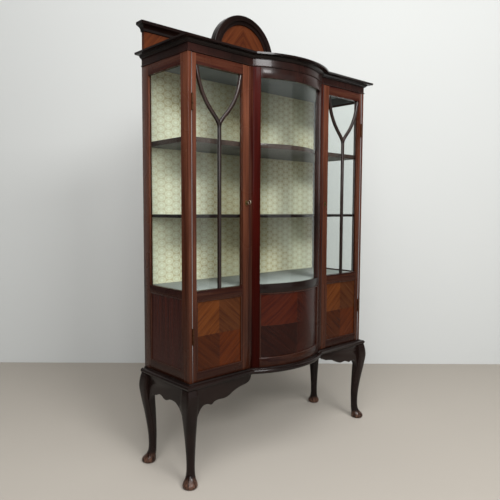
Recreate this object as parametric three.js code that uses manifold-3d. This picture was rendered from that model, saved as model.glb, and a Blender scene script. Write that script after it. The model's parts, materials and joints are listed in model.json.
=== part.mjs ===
// Bow-fronted mahogany china cabinet on a cabriole-leg stand.
// Millimetres, +Z up, the front faces -Y, +X is the right-hand side seen from the front.
// Origin: on the floor under the centre of the whole cabinet.

import * as THREE from 'three';
import { mergeVertices } from 'three/addons/utils/BufferGeometryUtils.js';
import Module from 'manifold-3d';

const wasm = await Module();
wasm.setup();

// ---- driving dimensions ---------------------------------------------------------------

const GAP = 0.3;                    // joint line left between pieces that touch

// carcass
const CARCASS_WIDTH = 1020;
const CARCASS_DEPTH = 304;          // flat front to back, without the bow
const CARCASS_BOTTOM = 389;         // top of the moulded base board
const CARCASS_HEIGHT = 1179;        // from the base board to the frieze
const SIDE_THICKNESS = 16;
const BACK_THICKNESS = 10;

// bowed centre of the front
const BOW_HALF_WIDTH = 204;
const BOW_RISE = 63;                // how far the bow stands in front of the flat front
const BOW_THICKNESS = 22;
const BOW_STILE = 27;               // width of the bow's stiles, seen from the front
const BOW_STEPS = 20;               // facets along the bow
const POST_WIDTH = 16.5;            // fixed upright between a door and the bow

// mouldings, boards and shelves
const BASE_THICKNESS = 21;
const FRIEZE_HEIGHT = 29;
const FRIEZE_THICKNESS = 16;
const CORNICE_HEIGHT = 20;
const CORNICE_OVERHANG = 31;
const CORNICE_LAP = 8;              // how far the cornice reaches back over the frieze
const CEILING_THICKNESS = 18;
const FLOOR_TOP = 720;              // display floor above the closed cupboard
const FLOOR_THICKNESS = 18;
const MIDDLE_SHELF_THICKNESS = 12;
const UPPER_SHELF_THICKNESS = 19;
const SHELF_SPACING = 281;          // from one shelf top to the next, starting at the floor
const SHELF_SETBACK = 1;            // shelf edge behind the doors and the bow's stiles

// doors and glazed frames
const DOOR_THICKNESS = 22;
const DOOR_SEAM = 1;                // gap at each door edge
const DOOR_CLEARANCE = 1.5;         // gap above and below a door
const HINGE_STILE = 17;
const LOCK_STILE = 32.5;
const TOP_RAIL = 37.5;
const BOTTOM_RAIL = 31.5;
const GLASS_BOTTOM = 725;
const MIDDLE_RAIL = 36;
const GLASS_THICKNESS = 3;
const GLASS_RECESS = 11;            // glass behind the face of a door or of the bow
const PANEL_THICKNESS = 9;
const PANEL_RECESS = 6;
const REBATE = 7;                   // how far glass and panels run under their frame
const REBATE_PLAY = 0.5;

// side frames
const SIDE_STILE = 45;
const SIDE_MIDDLE_RAIL = 29;
const SIDE_BOTTOM_RAIL = 37;
const SIDE_TOP_RAIL = 39;
const SIDE_GLASS_RECESS = 8;
const SIDE_PANEL_RECESS = 4;
const SIDE_PANEL_THICKNESS = 8;

// glazing bars of the doors
const BAR_WIDTH = 13;
const BAR_SETBACK = 0.5;            // face of the bars behind the face of the door
const FORK_DROP = 203;              // fork of the bars below the top of the glass

// butt hinges
const HINGE_LENGTH = 60;
const HINGE_KNUCKLE = 3;            // knuckle radius
const HINGE_PIN = 1.2;
const HINGE_BORE = 1.6;
const HINGE_PLATE = 1.5;
const HINGE_LEAF = 16;
const LEAF_SPLIT = 0.15;            // from the hinge axis to the near face of each leaf
const KNUCKLE_ROOM = 0.4;           // clearance round a turning knuckle
const HINGE_INSET = 170;            // from a door's end to the middle of the hinge

// locks and key
const LOCK_HEIGHT = 1048;           // middle of the lock above the floor
const LOCK_LENGTH = 56;
const LOCK_WIDTH = 23;
const LOCK_DEPTH = 10;
const LOCK_WALL = 1.5;              // front plate of the lock case
const KEY_AXIS_INSET = 14.5;        // from the door's edge
const KEY_CHAMBER = 8;
const KEYHOLE = 3;
const KEY_SHANK = 2.1;
const KEY_BIT = 6.4;
const KEY_BIT_THICKNESS = 1.8;
const KEYHOLE_WIDTH = 2.6;          // slot for the bit
const KEY_REACH = 27;               // key in front of the door
const KEY_BOW = 7.5;
const KEY_WIRE = 1.8;               // half thickness of the key's bow
const KEY_COLLAR = 3.2;
const BOLT_THROW = 8;
const BOLT_HEIGHT = 10;
const BOLT_DEPTH = 5;
const BOLT_LENGTH = 15;
const BOLT_RAISE = 15;              // bolt above the key
const BOLT_PLAY = 0.4;              // round the bolt in its lock
const MORTISE_PLAY = 0.5;           // round the thrown bolt in the post
const ESCUTCHEON_HEIGHT = 20;
const ESCUTCHEON_WIDTH = 13;
const ESCUTCHEON_THICKNESS = 1.2;

// stand
const APRON_THICKNESS = 20;
const APRON_PROUD = 12;             // apron in front of the carcass face
const BACK_LEG_INSET = 18;          // back legs stand this far forward of the front ones' mirror
const BACK_RAIL_HEIGHT = 60;
const BACK_RAIL_SETBACK = 6;         // rail forward of the back legs' axis
const LEG_FACETS = 20;

// gallery on the top
const GALLERY_THICKNESS = 18;
const GALLERY_HEIGHT = 82;          // from the top board to the cap
const GALLERY_INSET = 2;            // board ends inside the carcass ends
const CAP_HEIGHT = 33;
const CAP_OVERHANG = 25;
const ARCH_RADIUS = 175.5;
const ARCH_WIDTH = 39.5;
const ARCH_RIM = 25.2;              // outer rim of the arch moulding
const ARCH_DEPTH = 13;              // rim in front of the gallery board
const ARCH_STEP = 6;                // inner member behind the rim's face
const ARCH_FACETS = 28;

// ---- values that follow from them -------------------------------------------------------

const HALF_WIDTH = CARCASS_WIDTH / 2;
const FRONT = -CARCASS_DEPTH / 2;
const BACK = CARCASS_DEPTH / 2;
const BASE_BOTTOM = CARCASS_BOTTOM - BASE_THICKNESS;
const FRIEZE_BOTTOM = CARCASS_BOTTOM + CARCASS_HEIGHT;
const FRIEZE_TOP = FRIEZE_BOTTOM + FRIEZE_HEIGHT;
const CORNICE_TOP = FRIEZE_TOP + CORNICE_HEIGHT;
const BOW_RADIUS = (BOW_HALF_WIDTH ** 2 + BOW_RISE ** 2) / (2 * BOW_RISE);
const BOW_CENTRE = FRONT - BOW_RISE + BOW_RADIUS;
const BOW_INNER = BOW_RADIUS - BOW_THICKNESS;
// How far behind the flat front the back of the bow ends, at its stiles.
const BOW_EDGE_DEPTH = BOW_CENTRE - Math.sqrt(BOW_INNER ** 2 - BOW_HALF_WIDTH ** 2) - FRONT;
const GLASS_TOP = FRIEZE_BOTTOM - DOOR_CLEARANCE - TOP_RAIL;
const PANEL_TOP = GLASS_BOTTOM - MIDDLE_RAIL;
const PANEL_BOTTOM = CARCASS_BOTTOM + DOOR_CLEARANCE + BOTTOM_RAIL;
const SIDE_INNER = HALF_WIDTH - SIDE_THICKNESS;
const BOARD_HALF_WIDTH = SIDE_INNER - GAP;
const BACK_FACE = BACK - BACK_THICKNESS;
const BOARD_BACK = BACK_FACE - GAP;
const BOARD_OFFSET = -(Math.max(DOOR_THICKNESS, BOW_EDGE_DEPTH) + SHELF_SETBACK);
const HINGE_AXIS_X = SIDE_INNER - DOOR_SEAM / 2;
const HINGE_AXIS_Y = FRONT - HINGE_KNUCKLE - KNUCKLE_ROOM;
const DOOR_OUTER = SIDE_INNER - DOOR_SEAM;
const POST_OUTER = BOW_HALF_WIDTH + POST_WIDTH;
const POST_DEPTH = DOOR_THICKNESS;
const DOOR_INNER = POST_OUTER + DOOR_SEAM;
const DOOR_BOTTOM = CARCASS_BOTTOM + DOOR_CLEARANCE;
const DOOR_TOP = FRIEZE_BOTTOM - DOOR_CLEARANCE;
const SIGHT_OUTER = DOOR_OUTER - HINGE_STILE;
const SIGHT_INNER = DOOR_INNER + LOCK_STILE;
const DOOR_BACK = FRONT + DOOR_THICKNESS;
const KEY_X = DOOR_INNER + KEY_AXIS_INSET;
const BOLT_MIDDLE = LOCK_HEIGHT + BOLT_RAISE;
const ARCH_CENTRE = CORNICE_TOP + GAP + GALLERY_HEIGHT;
const GALLERY_FACE = BACK - GALLERY_THICKNESS;
const BOW_FRONT = FRONT - BOW_RISE - CORNICE_OVERHANG;

// Cabriole leg, from the floor up: share of the leg's height, lean outwards along the
// diagonal, half width across the flats, and squareness (2 is round, larger is squarer).
const LEG_TOP = BASE_BOTTOM - GAP;
const LEG_STATIONS = [
  [0, -3, 22, 2],
  [0.011, -3, 26.5, 2],
  [0.03, -3, 28, 2],
  [0.054, -5, 26, 2],
  [0.084, -11, 20.5, 2],
  [0.13, -16.5, 16.8, 2],
  [0.22, -18.5, 15.8, 2],
  [0.33, -18, 17.3, 2],
  [0.45, -14.5, 19.6, 2.1],
  [0.575, -9.5, 21.8, 2.5],
  [0.695, -3.5, 23.5, 3.5],
  [0.778, 0, 24.4, 5],
  [0.86, 1.5, 25.2, 8],
  [0.94, -1.5, 24.2, 10],
  [1, -4.5, 21.5, 12],
];
// Furthest that a knee stands outside its corner of the carcass, along x and y.
const KNEE_REACH = Math.max(...LEG_STATIONS.map(([, lean, half]) => lean * Math.SQRT1_2 + half));
const REAR = Math.max(BACK, BACK - BACK_LEG_INSET + KNEE_REACH);
const CENTRE_Y = (BOW_FRONT + REAR) / 2;

// ---- shape helpers --------------------------------------------------------------------

function toSolid(geometry) {
  const bare = geometry.clone();
  bare.deleteAttribute('normal');
  bare.deleteAttribute('uv');
  const merged = mergeVertices(bare, 1e-4);
  return new wasm.Manifold(new wasm.Mesh({
    numProp: 3,
    vertProperties: Float32Array.from(merged.attributes.position.array),
    triVerts: Uint32Array.from(merged.index.array),
  }));
}

function toGeometry(solid) {
  const mesh = solid.getMesh();
  const geometry = new THREE.BufferGeometry();
  geometry.setAttribute('position', new THREE.BufferAttribute(mesh.vertProperties, 3));
  geometry.setIndex(new THREE.BufferAttribute(mesh.triVerts, 1));
  geometry.computeVertexNormals();
  return geometry;
}

function cut(body, ...tools) {
  let solid = toSolid(body);
  for (const tool of tools) solid = solid.subtract(toSolid(tool));
  return toGeometry(solid);
}

function join(first, ...others) {
  let solid = toSolid(first);
  for (const other of others) solid = solid.add(toSolid(other));
  return toGeometry(solid);
}

function common(first, second) {
  return toGeometry(toSolid(first).intersect(toSolid(second)));
}

function block(x0, x1, y0, y1, z0, z1) {
  const geometry = new THREE.BoxGeometry(x1 - x0, y1 - y0, z1 - z0);
  return geometry.translate((x0 + x1) / 2, (y0 + y1) / 2, (z0 + z1) / 2);
}

// Swaps left for right and turns the faces back out.
function mirrored(geometry) {
  const copy = geometry.index ? geometry.clone() : mergeVertices(geometry.clone());
  copy.scale(-1, 1, 1);
  const index = copy.index.array;
  for (let i = 0; i < index.length; i += 3) {
    [index[i], index[i + 1]] = [index[i + 1], index[i]];
  }
  copy.computeVertexNormals();
  return copy;
}

function extrude(shape, depth, curveSegments = 12) {
  return new THREE.ExtrudeGeometry(shape, { depth, bevelEnabled: false, curveSegments });
}

function shapeOf(points) {
  return new THREE.Shape(points.map(([x, y]) => new THREE.Vector2(x, y)));
}

function rectangle(x0, x1, y0, y1) {
  return shapeOf([[x0, y0], [x1, y0], [x1, y1], [x0, y1]]);
}

// A shape drawn in plan, raised from z0 to z1.
function board(shape, z0, z1) {
  return extrude(shape, z1 - z0).translate(0, 0, z0);
}

// A shape drawn in elevation (x, z), running from y0 to y1.
function frontPlate(shape, y0, y1, curveSegments) {
  return extrude(shape, y1 - y0, curveSegments).rotateX(Math.PI / 2).translate(0, y1, 0);
}

// A shape drawn in side elevation (y, z), running from x0 to x1.
function sidePlate(shape, x0, x1, curveSegments) {
  const geometry = extrude(shape, x1 - x0, curveSegments);
  return geometry.rotateX(Math.PI / 2).rotateZ(Math.PI / 2).translate(x0, 0, 0);
}

function rod(radius, x, y, z0, z1, facets = 16) {
  const geometry = new THREE.CylinderGeometry(radius, radius, z1 - z0, facets);
  return geometry.rotateX(Math.PI / 2).translate(x, y, (z0 + z1) / 2);
}

function crossRod(radius, x, z, y0, y1, facets = 16) {
  const geometry = new THREE.CylinderGeometry(radius, radius, y1 - y0, facets);
  return geometry.translate(x, (y0 + y1) / 2, z);
}

// Closed body through a stack of level rings, each one counter-clockwise from above.
function loft(rings) {
  const count = rings[0].length;
  const positions = rings.flat().flatMap((point) => [point.x, point.y, point.z]);
  const index = [];
  for (let level = 0; level + 1 < rings.length; level += 1) {
    for (let i = 0; i < count; i += 1) {
      const a = level * count + i;
      const b = level * count + (i + 1) % count;
      index.push(a, b, b + count, a, b + count, a + count);
    }
  }
  const lastRing = (rings.length - 1) * count;
  const bottom = THREE.ShapeUtils.triangulateShape(rings[0], []);
  for (const [a, b, c] of bottom) index.push(c, b, a);
  const top = THREE.ShapeUtils.triangulateShape(rings[rings.length - 1], []);
  for (const [a, b, c] of top) index.push(lastRing + a, lastRing + b, lastRing + c);
  const geometry = new THREE.BufferGeometry();
  geometry.setAttribute('position', new THREE.Float32BufferAttribute(positions, 3));
  geometry.setIndex(index);
  geometry.computeVertexNormals();
  return geometry;
}

// ---- plan of the cabinet ----------------------------------------------------------------

// Outline of a board whose front follows the flat-bow-flat front, moved out by offset.
function planPoints(offset, halfWidth, back) {
  const radius = BOW_RADIUS + offset;
  const flat = FRONT - offset;
  const halfAngle = Math.acos((BOW_CENTRE - flat) / radius);
  const points = [[-halfWidth, back], [-halfWidth, flat]];
  for (let i = 0; i <= BOW_STEPS; i += 1) {
    const angle = halfAngle * (2 * i / BOW_STEPS - 1);
    points.push([radius * Math.sin(angle), BOW_CENTRE - radius * Math.cos(angle)]);
  }
  points.push([halfWidth, flat], [halfWidth, back]);
  return points;
}

function planBoard(offset, halfWidth, back, z0, z1) {
  return board(shapeOf(planPoints(offset, halfWidth, back)), z0, z1);
}

// Board with a moulded front and ends. Each step is [height, overhang].
function mouldedBoard(steps, z0) {
  return loft(steps.map(([height, overhang]) => (
    planPoints(overhang, HALF_WIDTH + overhang, BACK)
      .map(([x, y]) => new THREE.Vector3(x, y, z0 + height)))));
}

// Steps of a quarter-round hollow from one [height, overhang] to another.
function hollow([h0, o0], [h1, o1], count = 4) {
  const steps = [];
  for (let i = 1; i < count; i += 1) {
    const angle = (Math.PI / 2) * i / count;
    steps.push([h0 + (h1 - h0) * Math.sin(angle), o0 + (o1 - o0) * (1 - Math.cos(angle))]);
  }
  return steps;
}

// Piece of the bow between two radii and two angles from the centre line.
function bowSector(inner, outer, from, to, z0, z1) {
  const steps = Math.max(2, Math.ceil(Math.abs(to - from) / 0.06));
  const points = [];
  for (let i = 0; i <= steps; i += 1) {
    const angle = from + (to - from) * i / steps;
    points.push([outer * Math.sin(angle), BOW_CENTRE - outer * Math.cos(angle)]);
  }
  for (let i = steps; i >= 0; i -= 1) {
    const angle = from + (to - from) * i / steps;
    points.push([inner * Math.sin(angle), BOW_CENTRE - inner * Math.cos(angle)]);
  }
  return board(shapeOf(points), z0, z1);
}

// ---- parts of the carcass -----------------------------------------------------------------

const BASE_STEPS = [[0, 13], [1.5, 16.5], [4, 19], [7.5, 20], [10.5, 19], [12.5, 16], [13, 11],
  [15, 8], [17.5, 5.5], [BASE_THICKNESS, 3]];
const FRIEZE_STEPS = [[GAP, 2], [1.5, 3.2], [4, 3.2], [5.5, 0], [FRIEZE_HEIGHT, 0]];
const CORNICE_STEPS = [[GAP, 3], [3, 3], ...hollow([3, 4], [12, CORNICE_OVERHANG - 3]),
  [12, CORNICE_OVERHANG - 3], [12.5, CORNICE_OVERHANG], [CORNICE_HEIGHT, CORNICE_OVERHANG]];

function baseBoard() {
  return mouldedBoard(BASE_STEPS, BASE_BOTTOM);
}

function friezeRing() {
  const inside = planBoard(-FRIEZE_THICKNESS, HALF_WIDTH - FRIEZE_THICKNESS, BACK + 1,
    FRIEZE_BOTTOM - 1, FRIEZE_TOP + 1);
  return cut(mouldedBoard(FRIEZE_STEPS, FRIEZE_BOTTOM), inside);
}

function corniceRing() {
  const inside = planBoard(-CORNICE_LAP, HALF_WIDTH - CORNICE_LAP, BACK + 1,
    FRIEZE_TOP - 1, CORNICE_TOP + 1);
  return cut(mouldedBoard(CORNICE_STEPS, FRIEZE_TOP), inside);
}

function ceilingBoard() {
  const offset = -FRIEZE_THICKNESS - GAP;
  return planBoard(offset, HALF_WIDTH + offset, BOARD_BACK, FRIEZE_BOTTOM + GAP,
    FRIEZE_BOTTOM + GAP + CEILING_THICKNESS);
}

function topBoard() {
  const offset = -CORNICE_LAP - GAP;
  return planBoard(offset, HALF_WIDTH + offset, BACK, FRIEZE_TOP + GAP, CORNICE_TOP);
}

function insideBoard(top, thickness) {
  return planBoard(BOARD_OFFSET, BOARD_HALF_WIDTH, BOARD_BACK, top - thickness, top);
}

function backPanel() {
  return block(-BOARD_HALF_WIDTH, BOARD_HALF_WIDTH, BACK_FACE, BACK,
    CARCASS_BOTTOM + GAP, FRIEZE_TOP);
}

const SIDE_SIGHT = CARCASS_DEPTH / 2 - SIDE_STILE;
const SIDE_GLASS_TOP = FRIEZE_BOTTOM - SIDE_TOP_RAIL;
const SIDE_PANEL_BOTTOM = CARCASS_BOTTOM + SIDE_BOTTOM_RAIL;
const SIDE_PANEL_TOP = GLASS_BOTTOM - SIDE_MIDDLE_RAIL;

function hingeHeights() {
  return [DOOR_BOTTOM + HINGE_INSET, DOOR_TOP - HINGE_INSET];
}

function sideFrame() {
  const outline = rectangle(FRONT, BACK, CARCASS_BOTTOM + GAP, FRIEZE_BOTTOM);
  outline.holes.push(rectangle(-SIDE_SIGHT, SIDE_SIGHT, GLASS_BOTTOM, SIDE_GLASS_TOP));
  outline.holes.push(rectangle(-SIDE_SIGHT, SIDE_SIGHT, SIDE_PANEL_BOTTOM, SIDE_PANEL_TOP));
  const frame = sidePlate(outline, SIDE_INNER, HALF_WIDTH);
  const reach = SIDE_SIGHT + REBATE;
  const glassRebate = block(SIDE_INNER - 1, HALF_WIDTH - SIDE_GLASS_RECESS, -reach, reach,
    GLASS_BOTTOM - REBATE, SIDE_GLASS_TOP + REBATE);
  const panelRebate = block(SIDE_INNER - 1, HALF_WIDTH - SIDE_PANEL_RECESS, -reach, reach,
    SIDE_PANEL_BOTTOM - REBATE, SIDE_PANEL_TOP + REBATE);
  const leafPockets = hingeHeights().map((height) => hingePocket(height, 1));
  return cut(frame, glassRebate, panelRebate, ...leafPockets);
}

function sideGlass() {
  const reach = SIDE_SIGHT + REBATE - REBATE_PLAY;
  const face = HALF_WIDTH - SIDE_GLASS_RECESS - GAP;
  return block(face - GLASS_THICKNESS, face, -reach, reach,
    GLASS_BOTTOM - REBATE + REBATE_PLAY, SIDE_GLASS_TOP + REBATE - REBATE_PLAY);
}

function sidePanel() {
  const reach = SIDE_SIGHT + REBATE - REBATE_PLAY;
  const face = HALF_WIDTH - SIDE_PANEL_RECESS - GAP;
  return block(face - SIDE_PANEL_THICKNESS, face, -reach, reach,
    SIDE_PANEL_BOTTOM - REBATE + REBATE_PLAY, SIDE_PANEL_TOP + REBATE - REBATE_PLAY);
}

function bowPost() {
  const post = block(BOW_HALF_WIDTH, POST_OUTER, FRONT, FRONT + POST_DEPTH,
    CARCASS_BOTTOM + GAP, FRIEZE_BOTTOM);
  return cut(post, boltRoom(POST_OUTER - BOLT_THROW - MORTISE_PLAY, POST_OUTER + 1, MORTISE_PLAY));
}

// ---- bowed centre -------------------------------------------------------------------------

const BOW_SIGHT_ANGLE = Math.asin((BOW_HALF_WIDTH - BOW_STILE) / BOW_RADIUS);
const BOW_REBATE_ANGLE = BOW_SIGHT_ANGLE + REBATE / BOW_RADIUS;
const BOW_RAIL_ANGLE = BOW_SIGHT_ANGLE - GAP / BOW_RADIUS;

function bowRebates() {
  const deep = BOW_INNER - 5;
  return [
    bowSector(deep, BOW_RADIUS - GLASS_RECESS, -BOW_REBATE_ANGLE, BOW_REBATE_ANGLE,
      GLASS_BOTTOM - REBATE, GLASS_TOP + REBATE),
    bowSector(deep, BOW_RADIUS - PANEL_RECESS, -BOW_REBATE_ANGLE, BOW_REBATE_ANGLE,
      PANEL_BOTTOM - REBATE, PANEL_TOP + REBATE),
  ];
}

function bowStile() {
  const edge = BOW_HALF_WIDTH - GAP;
  const points = [];
  const steps = 3;
  const outerEnd = Math.asin(edge / BOW_RADIUS);
  const innerEnd = Math.asin(edge / BOW_INNER);
  for (let i = 0; i <= steps; i += 1) {
    const angle = BOW_SIGHT_ANGLE + (outerEnd - BOW_SIGHT_ANGLE) * i / steps;
    points.push([BOW_RADIUS * Math.sin(angle), BOW_CENTRE - BOW_RADIUS * Math.cos(angle)]);
  }
  for (let i = steps; i >= 0; i -= 1) {
    const angle = BOW_SIGHT_ANGLE + (innerEnd - BOW_SIGHT_ANGLE) * i / steps;
    points.push([BOW_INNER * Math.sin(angle), BOW_CENTRE - BOW_INNER * Math.cos(angle)]);
  }
  return cut(board(shapeOf(points), CARCASS_BOTTOM + GAP, FRIEZE_BOTTOM), ...bowRebates());
}

function bowRail(z0, z1) {
  const rail = bowSector(BOW_INNER, BOW_RADIUS, -BOW_RAIL_ANGLE, BOW_RAIL_ANGLE, z0, z1);
  return cut(rail, ...bowRebates());
}

function bowInfill(recess, thickness, z0, z1) {
  const face = BOW_RADIUS - recess - GAP;
  const angle = BOW_REBATE_ANGLE - REBATE_PLAY / BOW_RADIUS;
  return bowSector(face - thickness, face, -angle, angle,
    z0 - REBATE + REBATE_PLAY, z1 + REBATE - REBATE_PLAY);
}

// ---- doors, drawn for the right-hand side -----------------------------------------------------

const LOCK_BACK = DOOR_BACK - GAP;
const LOCK_FACE = DOOR_BACK - LOCK_DEPTH;
const BOLT_FACE = LOCK_FACE + (LOCK_DEPTH - BOLT_DEPTH) / 2;

// Pocket for a hinge leaf: side 1 is the side frame, side -1 the door.
function hingePocket(height, side) {
  const half = HINGE_LENGTH / 2 + GAP;
  const reach = LEAF_SPLIT + HINGE_PLATE + GAP;
  const x = [HINGE_AXIS_X, HINGE_AXIS_X + side * reach].sort((a, b) => a - b);
  return block(x[0], x[1], FRONT - 1, HINGE_AXIS_Y + HINGE_LEAF + GAP, height - half, height + half);
}

function doorFrame() {
  const outline = rectangle(DOOR_INNER, DOOR_OUTER, DOOR_BOTTOM, DOOR_TOP);
  outline.holes.push(rectangle(SIGHT_INNER, SIGHT_OUTER, GLASS_BOTTOM, GLASS_TOP));
  outline.holes.push(rectangle(SIGHT_INNER, SIGHT_OUTER, PANEL_BOTTOM, PANEL_TOP));
  const frame = frontPlate(outline, FRONT, DOOR_BACK);
  const glassRebate = block(SIGHT_INNER - REBATE, SIGHT_OUTER + REBATE,
    FRONT + GLASS_RECESS, DOOR_BACK + 1, GLASS_BOTTOM - REBATE, GLASS_TOP + REBATE);
  const panelRebate = block(SIGHT_INNER - REBATE, SIGHT_OUTER + REBATE,
    FRONT + PANEL_RECESS, DOOR_BACK + 1, PANEL_BOTTOM - REBATE, PANEL_TOP + REBATE);
  const lockPocket = block(DOOR_INNER - 1, DOOR_INNER + LOCK_WIDTH + GAP,
    LOCK_FACE - GAP, DOOR_BACK + 1,
    LOCK_HEIGHT - LOCK_LENGTH / 2 - GAP, LOCK_HEIGHT + LOCK_LENGTH / 2 + GAP);
  const leafPockets = hingeHeights().map((height) => hingePocket(height, -1));
  return cut(frame, glassRebate, panelRebate, lockPocket, keyhole(FRONT - 1, LOCK_FACE + 1),
    ...leafPockets);
}

function keyhole(y0, y1) {
  const half = KEYHOLE_WIDTH / 2;
  const slot = block(KEY_X - half, KEY_X + half, y0, y1, LOCK_HEIGHT - KEY_BIT - 1, LOCK_HEIGHT);
  return join(crossRod(KEYHOLE, KEY_X, LOCK_HEIGHT, y0, y1), slot);
}

function doorGlass() {
  const inset = REBATE - REBATE_PLAY;
  const face = FRONT + GLASS_RECESS + GAP;
  return block(SIGHT_INNER - inset, SIGHT_OUTER + inset, face, face + GLASS_THICKNESS,
    GLASS_BOTTOM - inset, GLASS_TOP + inset);
}

function doorPanel() {
  const inset = REBATE - REBATE_PLAY;
  const face = FRONT + PANEL_RECESS + GAP;
  return block(SIGHT_INNER - inset, SIGHT_OUTER + inset, face, face + PANEL_THICKNESS,
    PANEL_BOTTOM - inset, PANEL_TOP + inset);
}

// Glazing bars: an upright that forks into two arms which sweep up to the corners.
function doorBars() {
  const middle = (SIGHT_INNER + SIGHT_OUTER) / 2;
  const spread = (SIGHT_OUTER - SIGHT_INNER - BAR_WIDTH) / 2;
  const y0 = FRONT + BAR_SETBACK;
  const y1 = FRONT + GLASS_RECESS;
  const fork = GLASS_TOP - FORK_DROP;
  const arm = (side) => {
    const at = (across, up) => new THREE.Vector2(middle + side * spread * across,
      fork + FORK_DROP * up);
    const curve = new THREE.CubicBezierCurve(at(0, 0), at(0.03, 0.2), at(0.85, 0.3), at(1, 1.02));
    return frontPlate(ribbon(curve, BAR_WIDTH, 12), y0, y1);
  };
  const upright = frontPlate(rectangle(middle - BAR_WIDTH / 2, middle + BAR_WIDTH / 2,
    GLASS_BOTTOM + GAP, fork + BAR_WIDTH / 2), y0, y1);
  const opening = block(SIGHT_INNER + GAP, SIGHT_OUTER - GAP, y0 - 1, y1 + 1,
    GLASS_BOTTOM + GAP, GLASS_TOP - GAP);
  return common(join(upright, arm(1), arm(-1)), opening);
}

// Flat band of constant width along a curve.
function ribbon(curve, width, count) {
  const left = [];
  const right = [];
  for (let i = 0; i <= count; i += 1) {
    const point = curve.getPoint(i / count);
    const tangent = curve.getTangent(i / count);
    const shift = new THREE.Vector2(-tangent.y, tangent.x).multiplyScalar(width / 2);
    left.push(point.clone().add(shift));
    right.unshift(point.clone().sub(shift));
  }
  return new THREE.Shape([...left, ...right]);
}

// ---- hinges and locks, drawn for the right-hand side ---------------------------------------------

const KNUCKLE_SPLIT = HINGE_LENGTH / 6;

function hingePlate(height, side) {
  const x = [HINGE_AXIS_X + side * LEAF_SPLIT, HINGE_AXIS_X + side * (LEAF_SPLIT + HINGE_PLATE)]
    .sort((a, b) => a - b);
  return block(x[0], x[1], HINGE_AXIS_Y, HINGE_AXIS_Y + HINGE_LEAF,
    height - HINGE_LENGTH / 2, height + HINGE_LENGTH / 2);
}

function knuckle(radius, z0, z1) {
  return rod(radius, HINGE_AXIS_X, HINGE_AXIS_Y, z0, z1);
}

// Leaf on the side frame, with the middle knuckle and the pin.
function fixedLeaf(height) {
  const end = HINGE_LENGTH / 2;
  const room = HINGE_KNUCKLE + KNUCKLE_ROOM;
  const plate = cut(hingePlate(height, 1),
    knuckle(room, height + KNUCKLE_SPLIT, height + end + 1),
    knuckle(room, height - end - 1, height - KNUCKLE_SPLIT));
  return join(plate,
    knuckle(HINGE_KNUCKLE, height - KNUCKLE_SPLIT, height + KNUCKLE_SPLIT),
    knuckle(HINGE_PIN, height - end, height + end));
}

// Leaf on the door, with the two outer knuckles bored for the pin.
function doorLeaf(height) {
  const end = HINGE_LENGTH / 2;
  const inner = KNUCKLE_SPLIT + GAP;
  const plate = cut(hingePlate(height, -1),
    knuckle(HINGE_KNUCKLE + KNUCKLE_ROOM, height - inner, height + inner));
  const leaf = join(plate,
    knuckle(HINGE_KNUCKLE, height + inner, height + end),
    knuckle(HINGE_KNUCKLE, height - end, height - inner));
  return cut(leaf, knuckle(HINGE_BORE, height - end - 1, height + end + 1));
}

function lockCase() {
  const body = block(DOOR_INNER, DOOR_INNER + LOCK_WIDTH, LOCK_FACE, LOCK_BACK,
    LOCK_HEIGHT - LOCK_LENGTH / 2, LOCK_HEIGHT + LOCK_LENGTH / 2);
  const chamber = crossRod(KEY_CHAMBER, KEY_X, LOCK_HEIGHT, LOCK_FACE + LOCK_WALL, LOCK_BACK + 1, 20);
  return cut(body, chamber, boltRoom(DOOR_INNER - 1, DOOR_INNER + BOLT_LENGTH + BOLT_PLAY, BOLT_PLAY),
    keyhole(LOCK_FACE - 1, LOCK_FACE + LOCK_WALL + 1));
}

// Space that holds the bolt's section with play all round it.
function boltRoom(x0, x1, play) {
  return block(x0, x1, BOLT_FACE - play, BOLT_FACE + BOLT_DEPTH + play,
    BOLT_MIDDLE - BOLT_HEIGHT / 2 - play, BOLT_MIDDLE + BOLT_HEIGHT / 2 + play);
}

function lockBolt() {
  return block(DOOR_INNER, DOOR_INNER + BOLT_LENGTH, BOLT_FACE, BOLT_FACE + BOLT_DEPTH,
    BOLT_MIDDLE - BOLT_HEIGHT / 2, BOLT_MIDDLE + BOLT_HEIGHT / 2);
}

function escutcheon() {
  const plate = new THREE.Shape();
  plate.absellipse(KEY_X, LOCK_HEIGHT - 1, ESCUTCHEON_WIDTH / 2, ESCUTCHEON_HEIGHT / 2, 0,
    Math.PI * 2);
  const back = FRONT - GAP;
  const body = frontPlate(plate, back - ESCUTCHEON_THICKNESS, back, 20);
  return cut(body, keyhole(back - ESCUTCHEON_THICKNESS - 1, back + 1));
}

function doorKey() {
  const tip = LOCK_BACK - 2;
  const bowCentre = FRONT - KEY_REACH + KEY_BOW + KEY_WIRE;
  const shank = crossRod(KEY_SHANK, KEY_X, LOCK_HEIGHT, bowCentre + KEY_BOW - 1, tip, 12);
  const collar = crossRod(KEY_COLLAR, KEY_X, LOCK_HEIGHT, bowCentre + KEY_BOW + 1.5,
    bowCentre + KEY_BOW + 4, 12);
  const bit = block(KEY_X - KEY_BIT_THICKNESS / 2, KEY_X + KEY_BIT_THICKNESS / 2,
    LOCK_FACE + LOCK_WALL + 1, tip - 0.5, LOCK_HEIGHT - KEY_BIT, LOCK_HEIGHT);
  const bow = new THREE.TorusGeometry(KEY_BOW, KEY_WIRE, 8, 20).rotateY(Math.PI / 2)
    .translate(KEY_X, bowCentre, LOCK_HEIGHT);
  return join(shank, collar, bit, bow);
}

// ---- stand ------------------------------------------------------------------------------------------

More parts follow.
